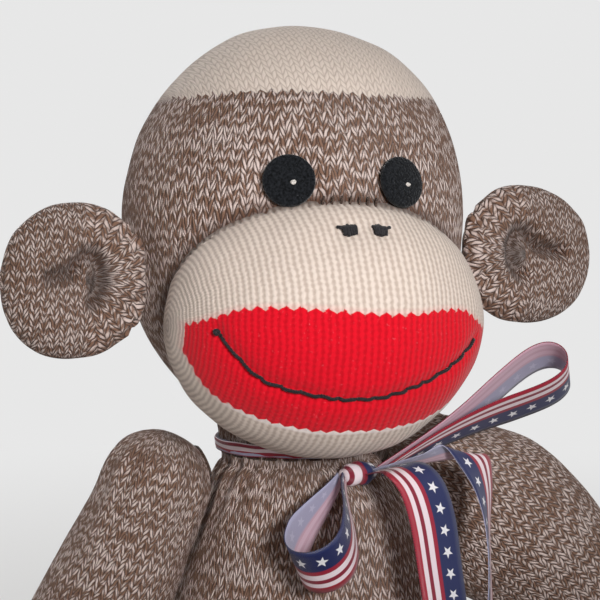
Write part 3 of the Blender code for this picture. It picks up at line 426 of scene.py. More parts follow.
# %% Sizes of the head and of what it carries
HEAD = Vector((0, 0, 0.232))
HEAD_HALF = Vector((0.054, 0.050, 0.063))
CAP_EDGE_RISE = 0.0385
FACE_SHIFT = -0.0025
PIVOT = Vector((0, 0, 0.174))
SOCKET_RADIUS = 0.0245
MUZZLE = HEAD + Vector((FACE_SHIFT, -0.032, -0.027))
MUZZLE_HALF = Vector((0.0475, 0.038, 0.039))
EYE_RADIUS, EYE_THICKNESS, EYE_SPREAD, EYE_RISE = 0.0074, 0.0016, 0.0165, 0.0130
EAR_RISE, EAR_REACH = {"left": -0.0075, "right": -0.0145}, {"left": 0.0415, "right": 0.0375}
EAR_SIDE, EAR_FORWARD, EAR_ROOT = 0.0563, 0.015, 0.0045
SIDES = (("left", 1), ("right", -1))


def stretch(point, half):
    """A point of a ball of radius 1 on the egg of that half size, from its centre."""
    return Vector([part * size for part, size in zip(point, half)])


def egg_normal(local, half):
    """Outward normal of an egg at a point from its centre."""
    return Vector([part / size ** 2 for part, size in zip(local, half)]).normalized()


def head_front(x, z):
    """Point on the head's front at a side distance and a height from its centre, and its normal."""
    share = 1 - (x / HEAD_HALF.x) ** 2 - (z / HEAD_HALF.z) ** 2
    local = Vector((x, -HEAD_HALF.y * sqrt(share), z))
    return HEAD + local, egg_normal(local, HEAD_HALF)


def inside(point, centre, half):
    """How far out a point lies in an egg: 0 at its centre, 1 on its surface."""
    return sqrt(sum(((part - middle) / size) ** 2 for part, middle, size in zip(point, centre, half)))


eye_seats = {side: head_front(FACE_SHIFT + sign * EYE_SPREAD, EYE_RISE) for side, sign in SIDES}
ear_roots = {side: Vector((sign * EAR_SIDE, -EAR_FORWARD, HEAD.z + EAR_RISE[side])) for side, sign in SIDES}
print("eyes at", [[round(value, 3) for value in seat] for seat, _ in eye_seats.values()])

# %% Wrap the head
HEAD_WALES, HEAD_COURSES = 90, 66
GATHER_START, SOCKET_START = 0.70, 0.845


def head_place(turn, along):
    angle = tau * turn + pi / 2
    if along <= SOCKET_START:
        polar = pi * along
        ring = sin(polar)
        return HEAD + stretch((ring * cos(angle), ring * sin(angle), cos(polar)), HEAD_HALF)
    edge = head_place(turn, SOCKET_START)
    tilt = (edge - PIVOT).normalized().angle(Vector((0, 0, 1)))
    tilt *= 1 - (along - SOCKET_START) / (1 - SOCKET_START)
    flat = Vector((cos(angle), sin(angle), 0))
    reach = SOCKET_RADIUS + ((edge - PIVOT).length - SOCKET_RADIUS) * near(along - SOCKET_START, 0.03)
    return PIVOT + (flat * sin(tilt) + Vector((0, 0, cos(tilt)))) * reach


def head_relief(point, turn, along):
    if along > SOCKET_START:
        return 0
    push = 0.0007 * lumps(point, 0.028) + 0.0022 * bump(point, (0.036, -0.013, 0.277), 0.024)
    for seat, _ in eye_seats.values():
        push -= 0.0010 * near(abs((point - seat).length - EYE_RADIUS), 0.0026)
    for root in ear_roots.values():
        push -= 0.0022 * bump(point, root, 0.013)
    gather = max(0, (along - GATHER_START) / (SOCKET_START - GATHER_START))
    push += 0.0009 * gather ** 2 * sin(tau * 26 * turn + 2 * lumps(point, 0.02))
    return push - 0.0006 * near(min(turn, 1 - turn), 0.006)


cap_end = acos(CAP_EDGE_RISE / HEAD_HALF.z) / pi
capped = marl_knit("marled yarn with a cream toe cap", -HEAD_COURSES * cap_end)
head = wrap("head_cloth", (HEAD_WALES, -HEAD_COURSES), (180, 130), head_place, head_relief, capped)
cap_reach = HEAD_HALF.x * sin(pi * cap_end)
chart = head.data.uv_layers[STITCH_MAP].data
for face in head.data.polygons:
    if face.center.z > HEAD.z + CAP_EDGE_RISE:
        for loop in face.loop_indices:
            share = head.data.vertices[head.data.loops[loop].vertex_index].co.x / cap_reach
            wales = HEAD_WALES / tau * asin(max(-1, min(1, share)))
            chart[loop].uv.x = HEAD_WALES / 2 + wales if face.center.y < HEAD.y else -wales
# Painted shade, with the seam's small stitches, on the head beside the muzzle.
note(head, PAINTED_SHADE, lambda point: near(max(0, inside(point, MUZZLE, MUZZLE_HALF) - 1), 0.05))
dress(head, "head", "marl_knit", "head_knit", "head_cap", "head_stuffing")

# %% [markdown]
# ## Muzzle
# The muzzle is the sock's heel, stuffed and whip-stitched to the face, with its wales running down
# over it. It is an egg with its long axis across the face. Where it would enter the head or the collar
# it stops just under their cloth instead. The smile's thread draws a groove into the filling.

# %% Sizes of the mouth
MUZZLE_WALES, MUZZLE_COURSES = 38, 127
# Each pair is a share of the muzzle's half width and an angle up from straight ahead, in degrees.
MOUTH_TOP = (
    (-1, 6), (-0.80, 11.5), (-0.72, 12.5), (-0.41, 10), (-0.04, 7), (0.25, 6.7), (0.47, 8.5), (0.66, 8),
    (0.9, -4),
)
MOUTH_BOTTOM = (
    (-1, -30), (-0.92, -47), (-0.84, -54), (-0.73, -53), (-0.56, -51.5), (-0.32, -49), (-0.1, -47.3),
    (0.08, -47.1), (0.32, -49), (0.54, -50), (0.74, -50), (0.85, -41), (0.92, -22),
)
MOUTH_ENDS = (-0.965, 0.905)
SMILE = (
    (-0.835, -2), (-0.79, -10), (-0.70, -20.5), (-0.60, -26), (-0.384, -28.4), (-0.104, -29.4), (0.11, -28.2),
    (0.374, -23.8), (0.565, -18.9), (0.76, -10),
)


def muzzle_spot(share, up, out=0.0):
    """Point on the muzzle at a share of its half width and an angle up from straight ahead."""
    round_share = sqrt(max(0, 1 - share * share))
    local = Vector((share, -round_share * cos(up), round_share * sin(up)))
    place = stretch(local, MUZZLE_HALF)
    return MUZZLE + place + egg_normal(place, MUZZLE_HALF) * out


def smile_spot(walked, aside=0.0, out=0.0):
    """Point on the smile at a share of its way, and how far it strays, in degrees, and stands off."""
    share = SMILE[0][0] + (SMILE[-1][0] - SMILE[0][0]) * walked
    return muzzle_spot(share, radians(curve(SMILE, share)) + radians(aside), out)


smile_route = [smile_spot(step / 60) for step in range(61)]
smile_length = sum((after - before).length for before, after in zip(smile_route, smile_route[1:]))
print("smile is", round(smile_length * 1000, 1), "mm long")

# %% Wrap the muzzle
COLLAR_REACH, HEAD_INSET = 0.0288, 0.94
NOSTRIL_SHARES, NOSTRIL_RISE = {"left": 0.10, "right": -0.09}, radians(43)


def muzzle_place(turn, along):
    """Columns run across the face and rows round it, with the seam hidden on the head."""
    up = tau * turn - pi
    point = muzzle_spot(-cos(pi * along), up)
    local = point - HEAD
    room = 1 - (local.x / (HEAD_HALF.x * HEAD_INSET)) ** 2 - (local.z / (HEAD_HALF.z * HEAD_INSET)) ** 2
    if room > 0:
        point.y = min(point.y, HEAD.y - HEAD_HALF.y * HEAD_INSET * sqrt(room))
    if (point - PIVOT).length < COLLAR_REACH:
        point = PIVOT + (point - PIVOT).normalized() * COLLAR_REACH
    return point


def border_distance(point):
    """Distance into the red from its border, below 0 outside it."""
    local = [(part - middle) / size for part, middle, size in zip(point, MUZZLE, MUZZLE_HALF)]
    share = max(-0.999, min(0.999, local[0]))
    up = degrees(atan2(local[2], -local[1]))
    arc = MUZZLE_HALF.z * sqrt(1 - share * share)
    ends = min(share - MOUTH_ENDS[0], MOUTH_ENDS[1] - share) * MUZZLE_HALF.x * 1.4
    top = radians(curve(MOUTH_TOP, share) - up) * arc
    bottom = radians(up - curve(MOUTH_BOTTOM, share)) * arc
    return min(ends, top, bottom)


def muzzle_relief(point, turn, along):
    depth = inside(point, HEAD, HEAD_HALF)
    if depth < 1.006:
        return 0
    push = 0.0006 * lumps(point, 0.022) * min(1, (depth - 1) * 12)
    push += 0.0010 * bump(point, muzzle_spot(0.1, radians(-75)), 0.02)
    if border_distance(point) > 0:
        push -= 0.0010 * near(min((point - spot).length for spot in smile_route), 0.0024)
    for share in NOSTRIL_SHARES.values():
        push -= 0.0009 * bump(point, muzzle_spot(share, NOSTRIL_RISE), 0.0035)
    return push - 0.0005 * near(depth - 1, 0.05) * (1 + sin(tau * 60 * along))


muzzle_counts = (MUZZLE_COURSES, MUZZLE_WALES)
muzzle = wrap("muzzle_cloth", muzzle_counts, (190, 150), muzzle_place, muzzle_relief, mouth_yarns)
note(muzzle, BORDER, border_distance)
# Painted shade, with the seam's brown stitches, on the muzzle beside the head.
note(muzzle, PAINTED_SHADE, lambda point: near(max(0, inside(point, HEAD, HEAD_HALF) - 1), 0.022))
for loop_uv in muzzle.data.uv_layers[STITCH_MAP].data:
    loop_uv.uv = (loop_uv.uv[1], loop_uv.uv[0])
dress(muzzle, "head", "cream_knit", "muzzle_knit", "mouth_patch", "muzzle_stuffing")

# %% [markdown]
# ## Ears
# Each ear is a small round cushion of the same marled cloth, sewn to the head with a tuck, so that its
# front is cupped. Its wales run down the front and up the back. It is wrapped round a flat form, and
# the tuck is pressed into the front as a bowl with a hooked crease in it.

# %% Wrap the ears
EAR_HALF_HEIGHT, EAR_HALF_THICKNESS, EAR_HEM = 0.022, 0.0082, 0.1
EAR_SHAPE = ((0.0, 0.70), (0.2, 0.94), (0.44, 1.0), (0.68, 0.90), (0.84, 0.685), (0.94, 0.42), (1.0, 0.0))
EAR_DEPTH = ((0.0, 0.56), (0.2, 0.86), (0.44, 1.0), (0.68, 0.93), (0.86, 0.74), (0.95, 0.5), (1.0, 0.0))
EAR_STEPS, EAR_WALE, EAR_COURSE, FAN_MIDDLE, FAN_WALES = (110, 70), 0.0027, 0.0020, 0.36, 11

# The tuck's crease on the ear's front: a hook of points by share of reach and by share of height,
# which is taken smaller, as an ear reaches out further than its half height.
HEIGHT_SCALE = 0.55
TUCK = [Vector((out, rise * HEIGHT_SCALE)) for out, rise in (
    (0.66, 0.04), (0.5, 0.1), (0.38, 0.34), (0.29, 0.36), (0.23, 0.14), (0.24, -0.12), (0.32, -0.32),
)]


def crease(spot):
    """Distance from a point to the tuck's crease."""
    gaps = []
    for start, end in zip(TUCK, TUCK[1:]):
        run = end - start
        share = min(max((spot - start).dot(run) / run.length_squared, 0), 1)
        gaps.append((spot - start - run * share).length)
    return min(gaps)


def ear_share(along):
    """Share of the ear's reach at a share along the cloth, beyond the hem inside the head."""
    return sin(pi / 2 * (along - EAR_HEM) / (1 - EAR_HEM))


def turn_wales(ear, place, reach):
    """Stitch map of an ear: wales stand upright, and beside the head they fan out round the tuck."""
    walks = []
    for step in range(EAR_STEPS[1] + 1):
        ring = [place(turn / EAR_STEPS[0], step / EAR_STEPS[1]) for turn in range(EAR_STEPS[0] + 1)]
        walk = [0]
        for before, after in zip(ring, ring[1:]):
            walk.append(walk[-1] + (after - before).length)
        walks.append([length - walk[EAR_STEPS[0] // 2] for length in walk])
    chart = ear.data.uv_layers[STITCH_MAP].data
    for face in ear.data.polygons:
        spots = []
        for loop in face.loop_indices:
            turn, along = chart[loop].uv
            out = ear_share(along) if along > EAR_HEM else along - EAR_HEM
            walk = walks[round(along * EAR_STEPS[1])]
            spots.append(Vector(((out - FAN_MIDDLE) * reach, walk[round(turn * EAR_STEPS[0])])))
        middle = sum(spots, Vector((0, 0))) / len(spots)
        fan = middle.x < 0 and abs(chart[face.loop_start].uv.x - 0.5) < 0.25
        for loop, spot in zip(face.loop_indices, spots):
            if fan:
                angle = atan2(max(-spot.x, 0), spot.y)
                spot = Vector((-angle * FAN_WALES * EAR_WALE / pi, spot.length))
            chart[loop].uv = (spot.x / EAR_WALE, spot.y / EAR_COURSE)


def make_ear(side, sign):
    root, reach = ear_roots[side], EAR_REACH[side]

    def place(turn, along):
        angle = tau * turn + pi
        if along < EAR_HEM:
            swing = pi / 2 * (1 - along / EAR_HEM)
            out = -EAR_ROOT * sin(swing)
            height, depth = EAR_HALF_HEIGHT * 0.62 * cos(swing) ** 0.6, EAR_ROOT * cos(swing)
        else:
            share = ear_share(along)
            out = reach * share
            height = EAR_HALF_HEIGHT * max(0, curve(EAR_SHAPE, share))
            depth = EAR_HALF_THICKNESS * max(0, curve(EAR_DEPTH, share))
        return root + Vector((sign * out, -depth * cos(angle), height * sin(angle)))

    def front_spot(point):
        rise = (point.z - root.z) / EAR_HALF_HEIGHT
        return Vector(((point.x - root.x) * sign / reach, rise * HEIGHT_SCALE))

    def relief(point, turn, along):
        front, spot = max(0, -(point.y - root.y) / EAR_HALF_THICKNESS), front_spot(point)
        tuck = 0.0034 * bump(spot, (0.36, 0.02), 0.24) + 0.0054 * near(crease(spot), 0.055)
        push = 0.0005 * lumps(point, 0.015) - front * tuck
        push += front * 0.0014 * bump(spot, (0.08, 0), 0.12)
        push += 0.0014 * bump(spot, (0.75, -0.42), 0.3)
        return push + 0.0006 * near(along - EAR_HEM, 0.05) * sin(tau * 9 * turn)

    # Painted shade along the tuck's crease.
    def fold_shade(point):
        return 0 if point.y > root.y else 0.9 * near(crease(front_spot(point)), 0.05)

    ear = wrap("ear_cloth_" + side, (1, 1), EAR_STEPS, place, relief, marl)
    turn_wales(ear, place, reach)
    note(ear, PAINTED_SHADE, fold_shade)
    dress(ear, "ear_" + side, "marl_knit", "ear_" + side, "ear_stuffing_" + side)


for side, sign in SIDES:
    make_ear(side, sign)

# %% [markdown]
# ## Body
# The body is the leg and heel of a sock: marled cloth with the red heel at the seat. Its levels are
# ovals whose sizes come from one outline, flat where it sits and gathered at the neck, and its front
# is hollowed where the thighs lie. It is stuffed unevenly, fullest on its left side.

# %% Wrap the body
BODY_HALF_WIDTH, BODY_HALF_DEPTH, WAIST_HEIGHT, NECK_BALL = 0.050, 0.044, 0.160, 0.024
BODY_PROFILE = (
    (0, .0), (0, .30), (0.0, .60), (.03, .82), (.09, .94), (.19, 1), (.33, 1), (.48, .95), (.62, .87),
    (.74, .78), (.83, .7), (.9, .625), (.95, .555), (.985, .49), (1.0, .44),
)
HIP_HEIGHT, HIP_FORWARD, HIP_SPREAD, THIGH_REACH = 0.020923, 0.036, 0.0245, 0.0223
LAP_TURN = radians(70)
LAP_TOP = HIP_HEIGHT + THIGH_REACH * sin(LAP_TURN)
LAP_BEND = -HIP_FORWARD + THIGH_REACH * cos(LAP_TURN)
LAP_SLOPE = tan(pi / 2 - LAP_TURN)


def body_outline():
    """Height, half width and half depth from seat to neck, by share of the cloth's length."""
    points = []
    for height, width in BODY_PROFILE:
        roundness = max(0, (height - 0.7) / 0.3)
        flat = BODY_HALF_DEPTH / BODY_HALF_WIDTH
        wide = BODY_HALF_WIDTH * width
        points.append(Vector((WAIST_HEIGHT * height, wide, wide * (flat + (1 - flat) * roundness))))
    for angle in (-22, 0, 22, 45, 68, 90):
        radius = NECK_BALL * cos(radians(angle))
        points.append(Vector((PIVOT.z + NECK_BALL * sin(radians(angle)), radius, radius)))
    table, walked = [], 0
    for before, after in zip([points[0]] + points, points):
        walked += (after - before).length
        table.append((walked, after))
    return [(length / walked, point) for length, point in table]


outline = body_outline()


def body_place(turn, along):
    height, wide, deep = curve(outline, along)
    angle = tau * turn - pi / 2
    point = Vector((max(wide, 0) * cos(angle), max(deep, 0) * sin(angle), max(height, 0)))
    rise = min(max(point.z - HIP_HEIGHT, 0), THIGH_REACH)
    wall = -HIP_FORWARD + sqrt(THIGH_REACH ** 2 - rise ** 2)
    ceiling = LAP_TOP + max(LAP_BEND - point.y, 0) * LAP_SLOPE
    if point.z < ceiling and point.y < wall:
        if point.y < LAP_BEND and ceiling - point.z < wall - point.y:
            point.z = ceiling
        elif point.z < LAP_TOP:
            point.y = wall
    return point


SEAT_MIDDLE, SEAT_HALF, SEAT_CORNER = 0.041, (0.0393, 0.036), 0.026


def body_relief(point, turn, along):
    push = 0.0008 * lumps(point, 0.03)
    from_axis = max(hypot(point.x, point.y), 0.001)
    push += 0.0040 * near(point.z - 0.145, 0.014) * max(0, -point.y / from_axis)
    push += 0.0072 * near(point.z - 0.116, 0.026) * max(0, point.x / from_axis)
    push += 0.0019 * bump(point, (0.022, -0.010, 0.160), 0.008)
    gather = near(point.z - WAIST_HEIGHT, 0.016)
    push += 0.0007 * gather * sin(tau * 22 * turn + 2 * lumps(point, 0.02))
    for _, sign in SIDES:
        push -= 0.0016 * bump(point, (sign * 0.033, 0, 0.148), 0.011)
    return push * min(1, point.z / 0.01)


def seat_distance(point):
    """Distance into the red heel at the seat, a rounded oblong, below 0 outside it."""
    sideways = atan2(abs(point.x) / BODY_HALF_WIDTH, point.y / BODY_HALF_DEPTH) * 0.047
    upwards = abs(point.z - SEAT_MIDDLE)
    out = Vector((sideways - SEAT_HALF[0] + SEAT_CORNER, upwards - SEAT_HALF[1] + SEAT_CORNER))
    return SEAT_CORNER - Vector((max(out.x, 0), max(out.y, 0))).length - min(max(out.x, out.y), 0)


body = wrap("body_cloth", (80, 84), (150, 150), body_place, body_relief, marl)
note(body, BORDER, seat_distance)
dress(body, "torso", "marl_knit", "body_knit", "seat_patch", "body_stuffing")

# %% [markdown]
# ## Arms, legs and tail
# Each limb is a tube of sock with a cream end, stuffed more loosely than the body. It bends in one
# smooth arc, so one function follows the arc, closes both ends with a half ball and lets the cloth
# sag flat on the floor where it lies. The root is drawn in by its gathering.

# %% Follow a limb
ARM_SHAPE = {
    "left": ((0.0, 1.0), (0.1, 1.16), (0.22, 1.29), (0.36, 1.29), (0.52, 1.16), (0.7, 1.0), (0.93, 1.04),
             (1.0, 1.0)),
    "right": ((0.0, 1.0), (0.12, 1.02), (0.27, 1.13), (0.42, 1.13), (0.57, 1.04), (0.71, 0.96),
              (0.93, 1.04), (1.0, 1.0)),
}
LEG_SHAPE = (
    (0.0, 1.0), (0.12, 1.0), (0.26, 1.07), (0.42, 1.09), (0.58, 1.0), (0.72, 0.9), (0.92, 0.97), (1.0, 1.0),
)
LIMB_WALE, LIMB_COURSE = 0.0031, 0.0024
TAIL_SHAPE = ((0.0, 1.0), (0.2, 1.08), (0.4, 1.08), (0.6, 1.0), (1.0, 0.86))


def limb_place(limb, turn, along):
    first, last = [radians(bend) for bend in limb["bends"]]
    radius, length = limb["radius"], limb["length"]
    end_radius = radius * limb["shape"][-1][1]
    root_arc, end_arc = radius * pi / 2, end_radius * pi / 2
    walked = along * (root_arc + length + end_arc) - root_arc
    share = min(max(walked / length, 0), 1)
    rate = (last - first) / length
    bend = first + rate * length * share
    aside = (cos(first) - cos(bend)) / rate
    ahead = (sin(bend) - sin(first)) / rate
    direction = limb["along"] * cos(bend) + limb["across"] * sin(bend)
    point = limb["start"] + limb["along"] * ahead + limb["across"] * aside
    girth = radius * curve(limb["shape"], share)
    if limb["floor"]:
        point.z += girth - radius
    if walked < 0:
        swing = -walked / root_arc * pi / 2
        point -= direction * radius * sin(swing)
        girth = radius * cos(swing)
    elif walked > length:
        swing = (walked - length) / end_arc * pi / 2
        point += direction * end_radius * sin(swing)
        girth = end_radius * cos(swing)
    angle = tau * turn + limb["seam"]
    side = direction.cross(limb["steady"])
    return point + (limb["steady"] * cos(angle) + side * sin(angle)) * girth


def make_limb(limb):
    radius, length = limb["radius"], limb["length"]
    whole = radius * pi / 2 * (1 + limb["shape"][-1][1]) + length
    root_share = radius * pi / 2 / whole
    cuff = (radius * pi / 2 + limb["cuff"] * length) / whole
    wales = round(tau * radius * 1.05 / LIMB_WALE)

    def relief(point, turn, along):
        push = 0.0007 * lumps(point + limb["shift"], 0.024)
        wave = sin(tau * round(wales / 3.5) * turn + 2 * lumps(point, 0.02))
        push += 0.0006 * near(along - root_share * 0.9, root_share * 0.5) * wave
        push -= 0.0004 * near(along - cuff, 0.006) + limb.get("drawn", 0) * near(along, root_share)
        for spot, swell, reach in limb.get("swells", ()):
            push += swell * near((point - Vector(spot)).length, reach)
        return push - 0.0007 * near(min(turn, 1 - turn), 0.012)

    courses = round(whole / LIMB_COURSE)
    piece = wrap(
        limb["name"], (wales, courses), (84, round(whole / 0.0017)),
        lambda turn, along: limb_place(limb, turn, along), relief,
        marl_knit("marled yarn with a cream end, " + limb["name"], cuff * courses),
    )
    dress(piece, limb["body"], "marl_knit", *limb["hidden"])


# %% Make the limbs
# Where the filling has gathered or is missing in the arms: a place, a height and a reach.
ARM_SWELLS = {
    "left": (
        ((0.089, 0.008, 0.157), 0.0054, 0.030), ((0.058, 0.008, 0.120), 0.0062, 0.022),
        ((0.0706, -0.0226, 0.1466), -0.0020, 0.013), ((0.054, -0.015, 0.128), -0.0009, 0.009),
    ),
    "right": (((-0.0625, 0.004, 0.160), -0.0026, 0.013),),
}
limbs = []
for side, sign in SIDES:
    aside = Vector((sign, 0, 0))
    limbs.append({
        "name": "arm_cloth_" + side, "body": "arm_" + side, "start": Vector((sign * 0.046629, 0, 0.154)),
        "along": Vector((0, 0, -1)), "across": aside, "steady": Vector((0, 1, 0)), "seam": 0.0,
        "bends": (62, 14) if side == "left" else (19, 52), "length": 0.165, "radius": 0.0178,
        "shape": ARM_SHAPE[side], "cuff": 0.83, "floor": False, "shift": aside,
        "hidden": ("arm_" + side, "hand_" + side, "arm_stuffing_" + side),
        "swells": ARM_SWELLS[side], "drawn": 0.0003 if side == "left" else 0,
    })
    limbs.append({
        "name": "leg_cloth_" + side, "body": "leg_" + side,
        "start": Vector((sign * HIP_SPREAD, -HIP_FORWARD, HIP_HEIGHT)),
        "along": Vector((0, -1, 0)), "across": aside, "steady": Vector((0, 0, 1)), "seam": pi,
        "bends": (10, 15), "length": 0.185, "radius": 0.022, "shape": LEG_SHAPE, "cuff": 0.82, "floor": True,
        "hidden": ("leg_" + side, "foot_" + side, "leg_stuffing_" + side), "shift": Vector((0, sign, 0)),
    })
limbs.append({
    "name": "tail_cloth", "body": "tail", "start": Vector((0, 0.05251, 0.009701)),
    "along": Vector((0, 1, 0)), "across": Vector((-1, 0, 0)), "steady": Vector((0, 0, 1)), "seam": pi,
    "bends": (0, 75), "length": 0.170, "radius": 0.0105, "shape": TAIL_SHAPE, "cuff": 0.8, "floor": True,
    "hidden": ("tail", "tail_tip", "tail_stuffing"), "shift": Vector((0, 0, 1)), "drawn": 0.0022,
})
for limb in limbs:
    make_limb(limb)

# %% [markdown]
# ## Thread
# The smile, nostrils and seams are plain sewing thread, twisted from two strands. A thread is a
# curve with a round section, and two of them wound round one route show the twist.

# %% Thread material and helper
def thread_material(name, light, dark):
    bench = Bench(name, Roughness=0.75, Sheen_Weight=0.1, Specular_IOR_Level=0.3)
    fibres = bench.cloud(bench.place(), 2600, 3, 1)
    colour = bench.mix(fibres.step(0.35, 0.7), dark, light)
    return bench.finish(colour, fibres, 0.0001)


black_thread = thread_material("black thread", linear(46, 42, 46), linear(10, 9, 12))
brown_thread = thread_material("brown thread", linear(104, 82, 70), linear(44, 30, 24))
# Material of the eyes' painted highlight.
white_thread = thread_material("white glint", linear(246, 240, 234), linear(178, 168, 160))


def strand_routes(points, radius, turns):
    """Two strands wound round a route."""
    routes = []
    for phase in (0, pi):
        route = []
        for index, point in enumerate(points):
            ahead = (points[min(index + 1, len(points) - 1)] - points[max(index - 1, 0)]).normalized()
            side = side - ahead * side.dot(ahead) if route else ahead.orthogonal()
            side.normalize()
            angle = phase + tau * turns * index / (len(points) - 1)
            out = side * cos(angle) + ahead.cross(side) * sin(angle)
            route.append(point + out * radius * 0.5)
        routes.append(route)
    return routes


def thread(name, routes, radius, material):
    """Mesh of round threads along routes of points."""
    data = bpy.data.curves.new(name, "CURVE")
    data.dimensions, data.bevel_depth, data.bevel_resolution, data.use_fill_caps = "3D", radius, 1, True
    for route in routes:
        spline = data.splines.new("POLY")
        spline.points.add(len(route) - 1)
        for index, point in enumerate(route):
            spline.points[index].co = (*point, 1)
    rope = add_object(name + "_route", data)
    bpy.context.view_layer.update()
    made = bpy.data.meshes.new_from_object(rope.evaluated_get(bpy.context.evaluated_depsgraph_get()))
    bpy.data.objects.remove(rope)
    mesh = bmesh.new()
    mesh.from_mesh(made)
    bmesh.ops.remove_doubles(mesh, verts=mesh.verts, dist=1e-7)
    return make_piece(name, mesh, [material])


# %% [markdown]
# ## Smile
# The smile is backstitched through the cloth: each stitch rises, lies on the cloth and goes back in
# just behind the start of the next one. So the thread's height over the cloth follows a low arch for
# each stitch, and its path wanders a little as hand sewing does.

# %% Sew the smile
SMILE_RADIUS, SMILE_STITCHES = 0.00052, 15
smile_points = []
for step in range(241):
    share = step / 240
    arch = abs(sin(pi * SMILE_STITCHES * share))
    wander = 0.9 * noise.noise(Vector((share * 30, 3, 1)))
    smile_points.append(smile_spot(share, wander, -0.0008 + 0.0009 * arch ** 0.5))
smile_routes = strand_routes(smile_points, SMILE_RADIUS, 62)
knot = smile_spot(0, out=0.0004)
for reach in (0.0004, 0.0007):
    angles = [step * 0.5 for step in range(14)]
    smile_routes.append([
        knot + Vector((cos(angle) * reach, -0.0004 * sin(angle * 2), sin(angle) * reach))
        for angle in angles
    ])
smile = thread("smile_thread", smile_routes, SMILE_RADIUS * 0.62, black_thread)
dress(smile, "head", "black_thread", "mouth_line_thread")

# %% [markdown]
# ## Nostrils and the whip stitches
# A nostril is a few short black stitches side by side, with one end left sticking out. The muzzle's
# top edge is held between the eyes by small slanted stitches of brown thread.

# %% Sew the nostrils
def short_stitch(start, end, outward, lift):
    """Arch of thread from one point of the cloth to another."""
    points = []
    for step in range(9):
        share = step / 8
        rise = lift * (sin(pi * share) * 1.5 - 0.5)
        points.append(start + (end - start) * share + outward * rise)
    return points


def make_nostril(side, sign):
    middle = muzzle_spot(NOSTRIL_SHARES[side], NOSTRIL_RISE)
    outward = (middle - MUZZLE).normalized()
    across = Vector((1, 0, 0)) - outward * outward.x
    upward = outward.cross(across)
    upward *= 1 if upward.z > 0 else -1
    routes = []
    for step in range(9):
        shift = (step / 8 - 0.5) * 0.0034
        stray = noise.noise(Vector((step * 3.1, sign, 2)))
        tall = 0.0020 - 0.0010 * abs(step / 8 - 0.5) + 0.0005 * stray
        start = middle + across * (shift - 0.0007 * stray) - upward * tall
        end = middle + across * (shift + 0.0007 * stray) + upward * tall
        routes.append(short_stitch(start, end, outward, 0.0006))
    tip = middle + across * 0.0034 * sign + upward * 0.0012 + outward * 0.0004
    routes.append(short_stitch(middle + across * 0.0012 * sign, tip, outward, 0.0003))
    nostril = thread("nostril_thread_" + side, routes, 0.00046, black_thread)
    dress(nostril, "head", "black_thread", "nostril_" + side)


for side, sign in SIDES:
    make_nostril(side, sign)

# %% Sew the muzzle's top edge
def seam_spot(x):
    """Point where the muzzle leaves the head, at a side distance from the muzzle's middle."""
    low, high = -0.027, 0.0315
    for _ in range(40):
        middle = (low + high) / 2
        point, _ = head_front(FACE_SHIFT + x, middle)
        low, high = (middle, high) if inside(point, MUZZLE, MUZZLE_HALF) < 1 else (low, middle)
    return head_front(FACE_SHIFT + x, low)


seam_routes = []
for step in range(7):
    x = -0.0078 + 0.0156 * step / 6
    spot, outward = seam_spot(x)
    low = spot + Vector((-0.0005, -0.0016, -0.0008))
    high = spot + Vector((0.0005, 0, 0.0014)) + outward * 0.0002
    seam_routes.append(short_stitch(low, high, (outward + Vector((0, 0, 1))).normalized(), 0.0004))
seam = thread("muzzle_whip_stitches", seam_routes, 0.00036, brown_thread)
dress(seam, "head", "brown_thread", "muzzle_seam_thread")

# %% [markdown]
# ## Felt eyes
# The eyes are discs cut from thick black felt and sewn flat on the face, each with a tiny pale speck that
# is a painted highlight. Felt is matted fibres, so the disc is a bevelled cylinder whose cut edge is uneven,
# and its material is fine noise on near-black, with a sheen.

# %% Felt
def felt_material():
    bench = Bench("black felt", Roughness=1.0, Sheen_Weight=0.25, Sheen_Roughness=0.4, Specular_IOR_Level=0.1)
    spot = bench.place()
    fibres = bench.cloud(spot, 1500, 4, 1)
    specks = bench.cloud(spot, 2600, 1, 6).step(0.70, 0.78)
    colour = bench.mix(fibres.step(0.3, 0.75), linear(12, 13, 15), linear(40, 42, 46))
    colour = bench.mix(specks * 0.4, colour, linear(110, 112, 116))
    return bench.finish(colour, fibres, 0.0006)


felt = felt_material()


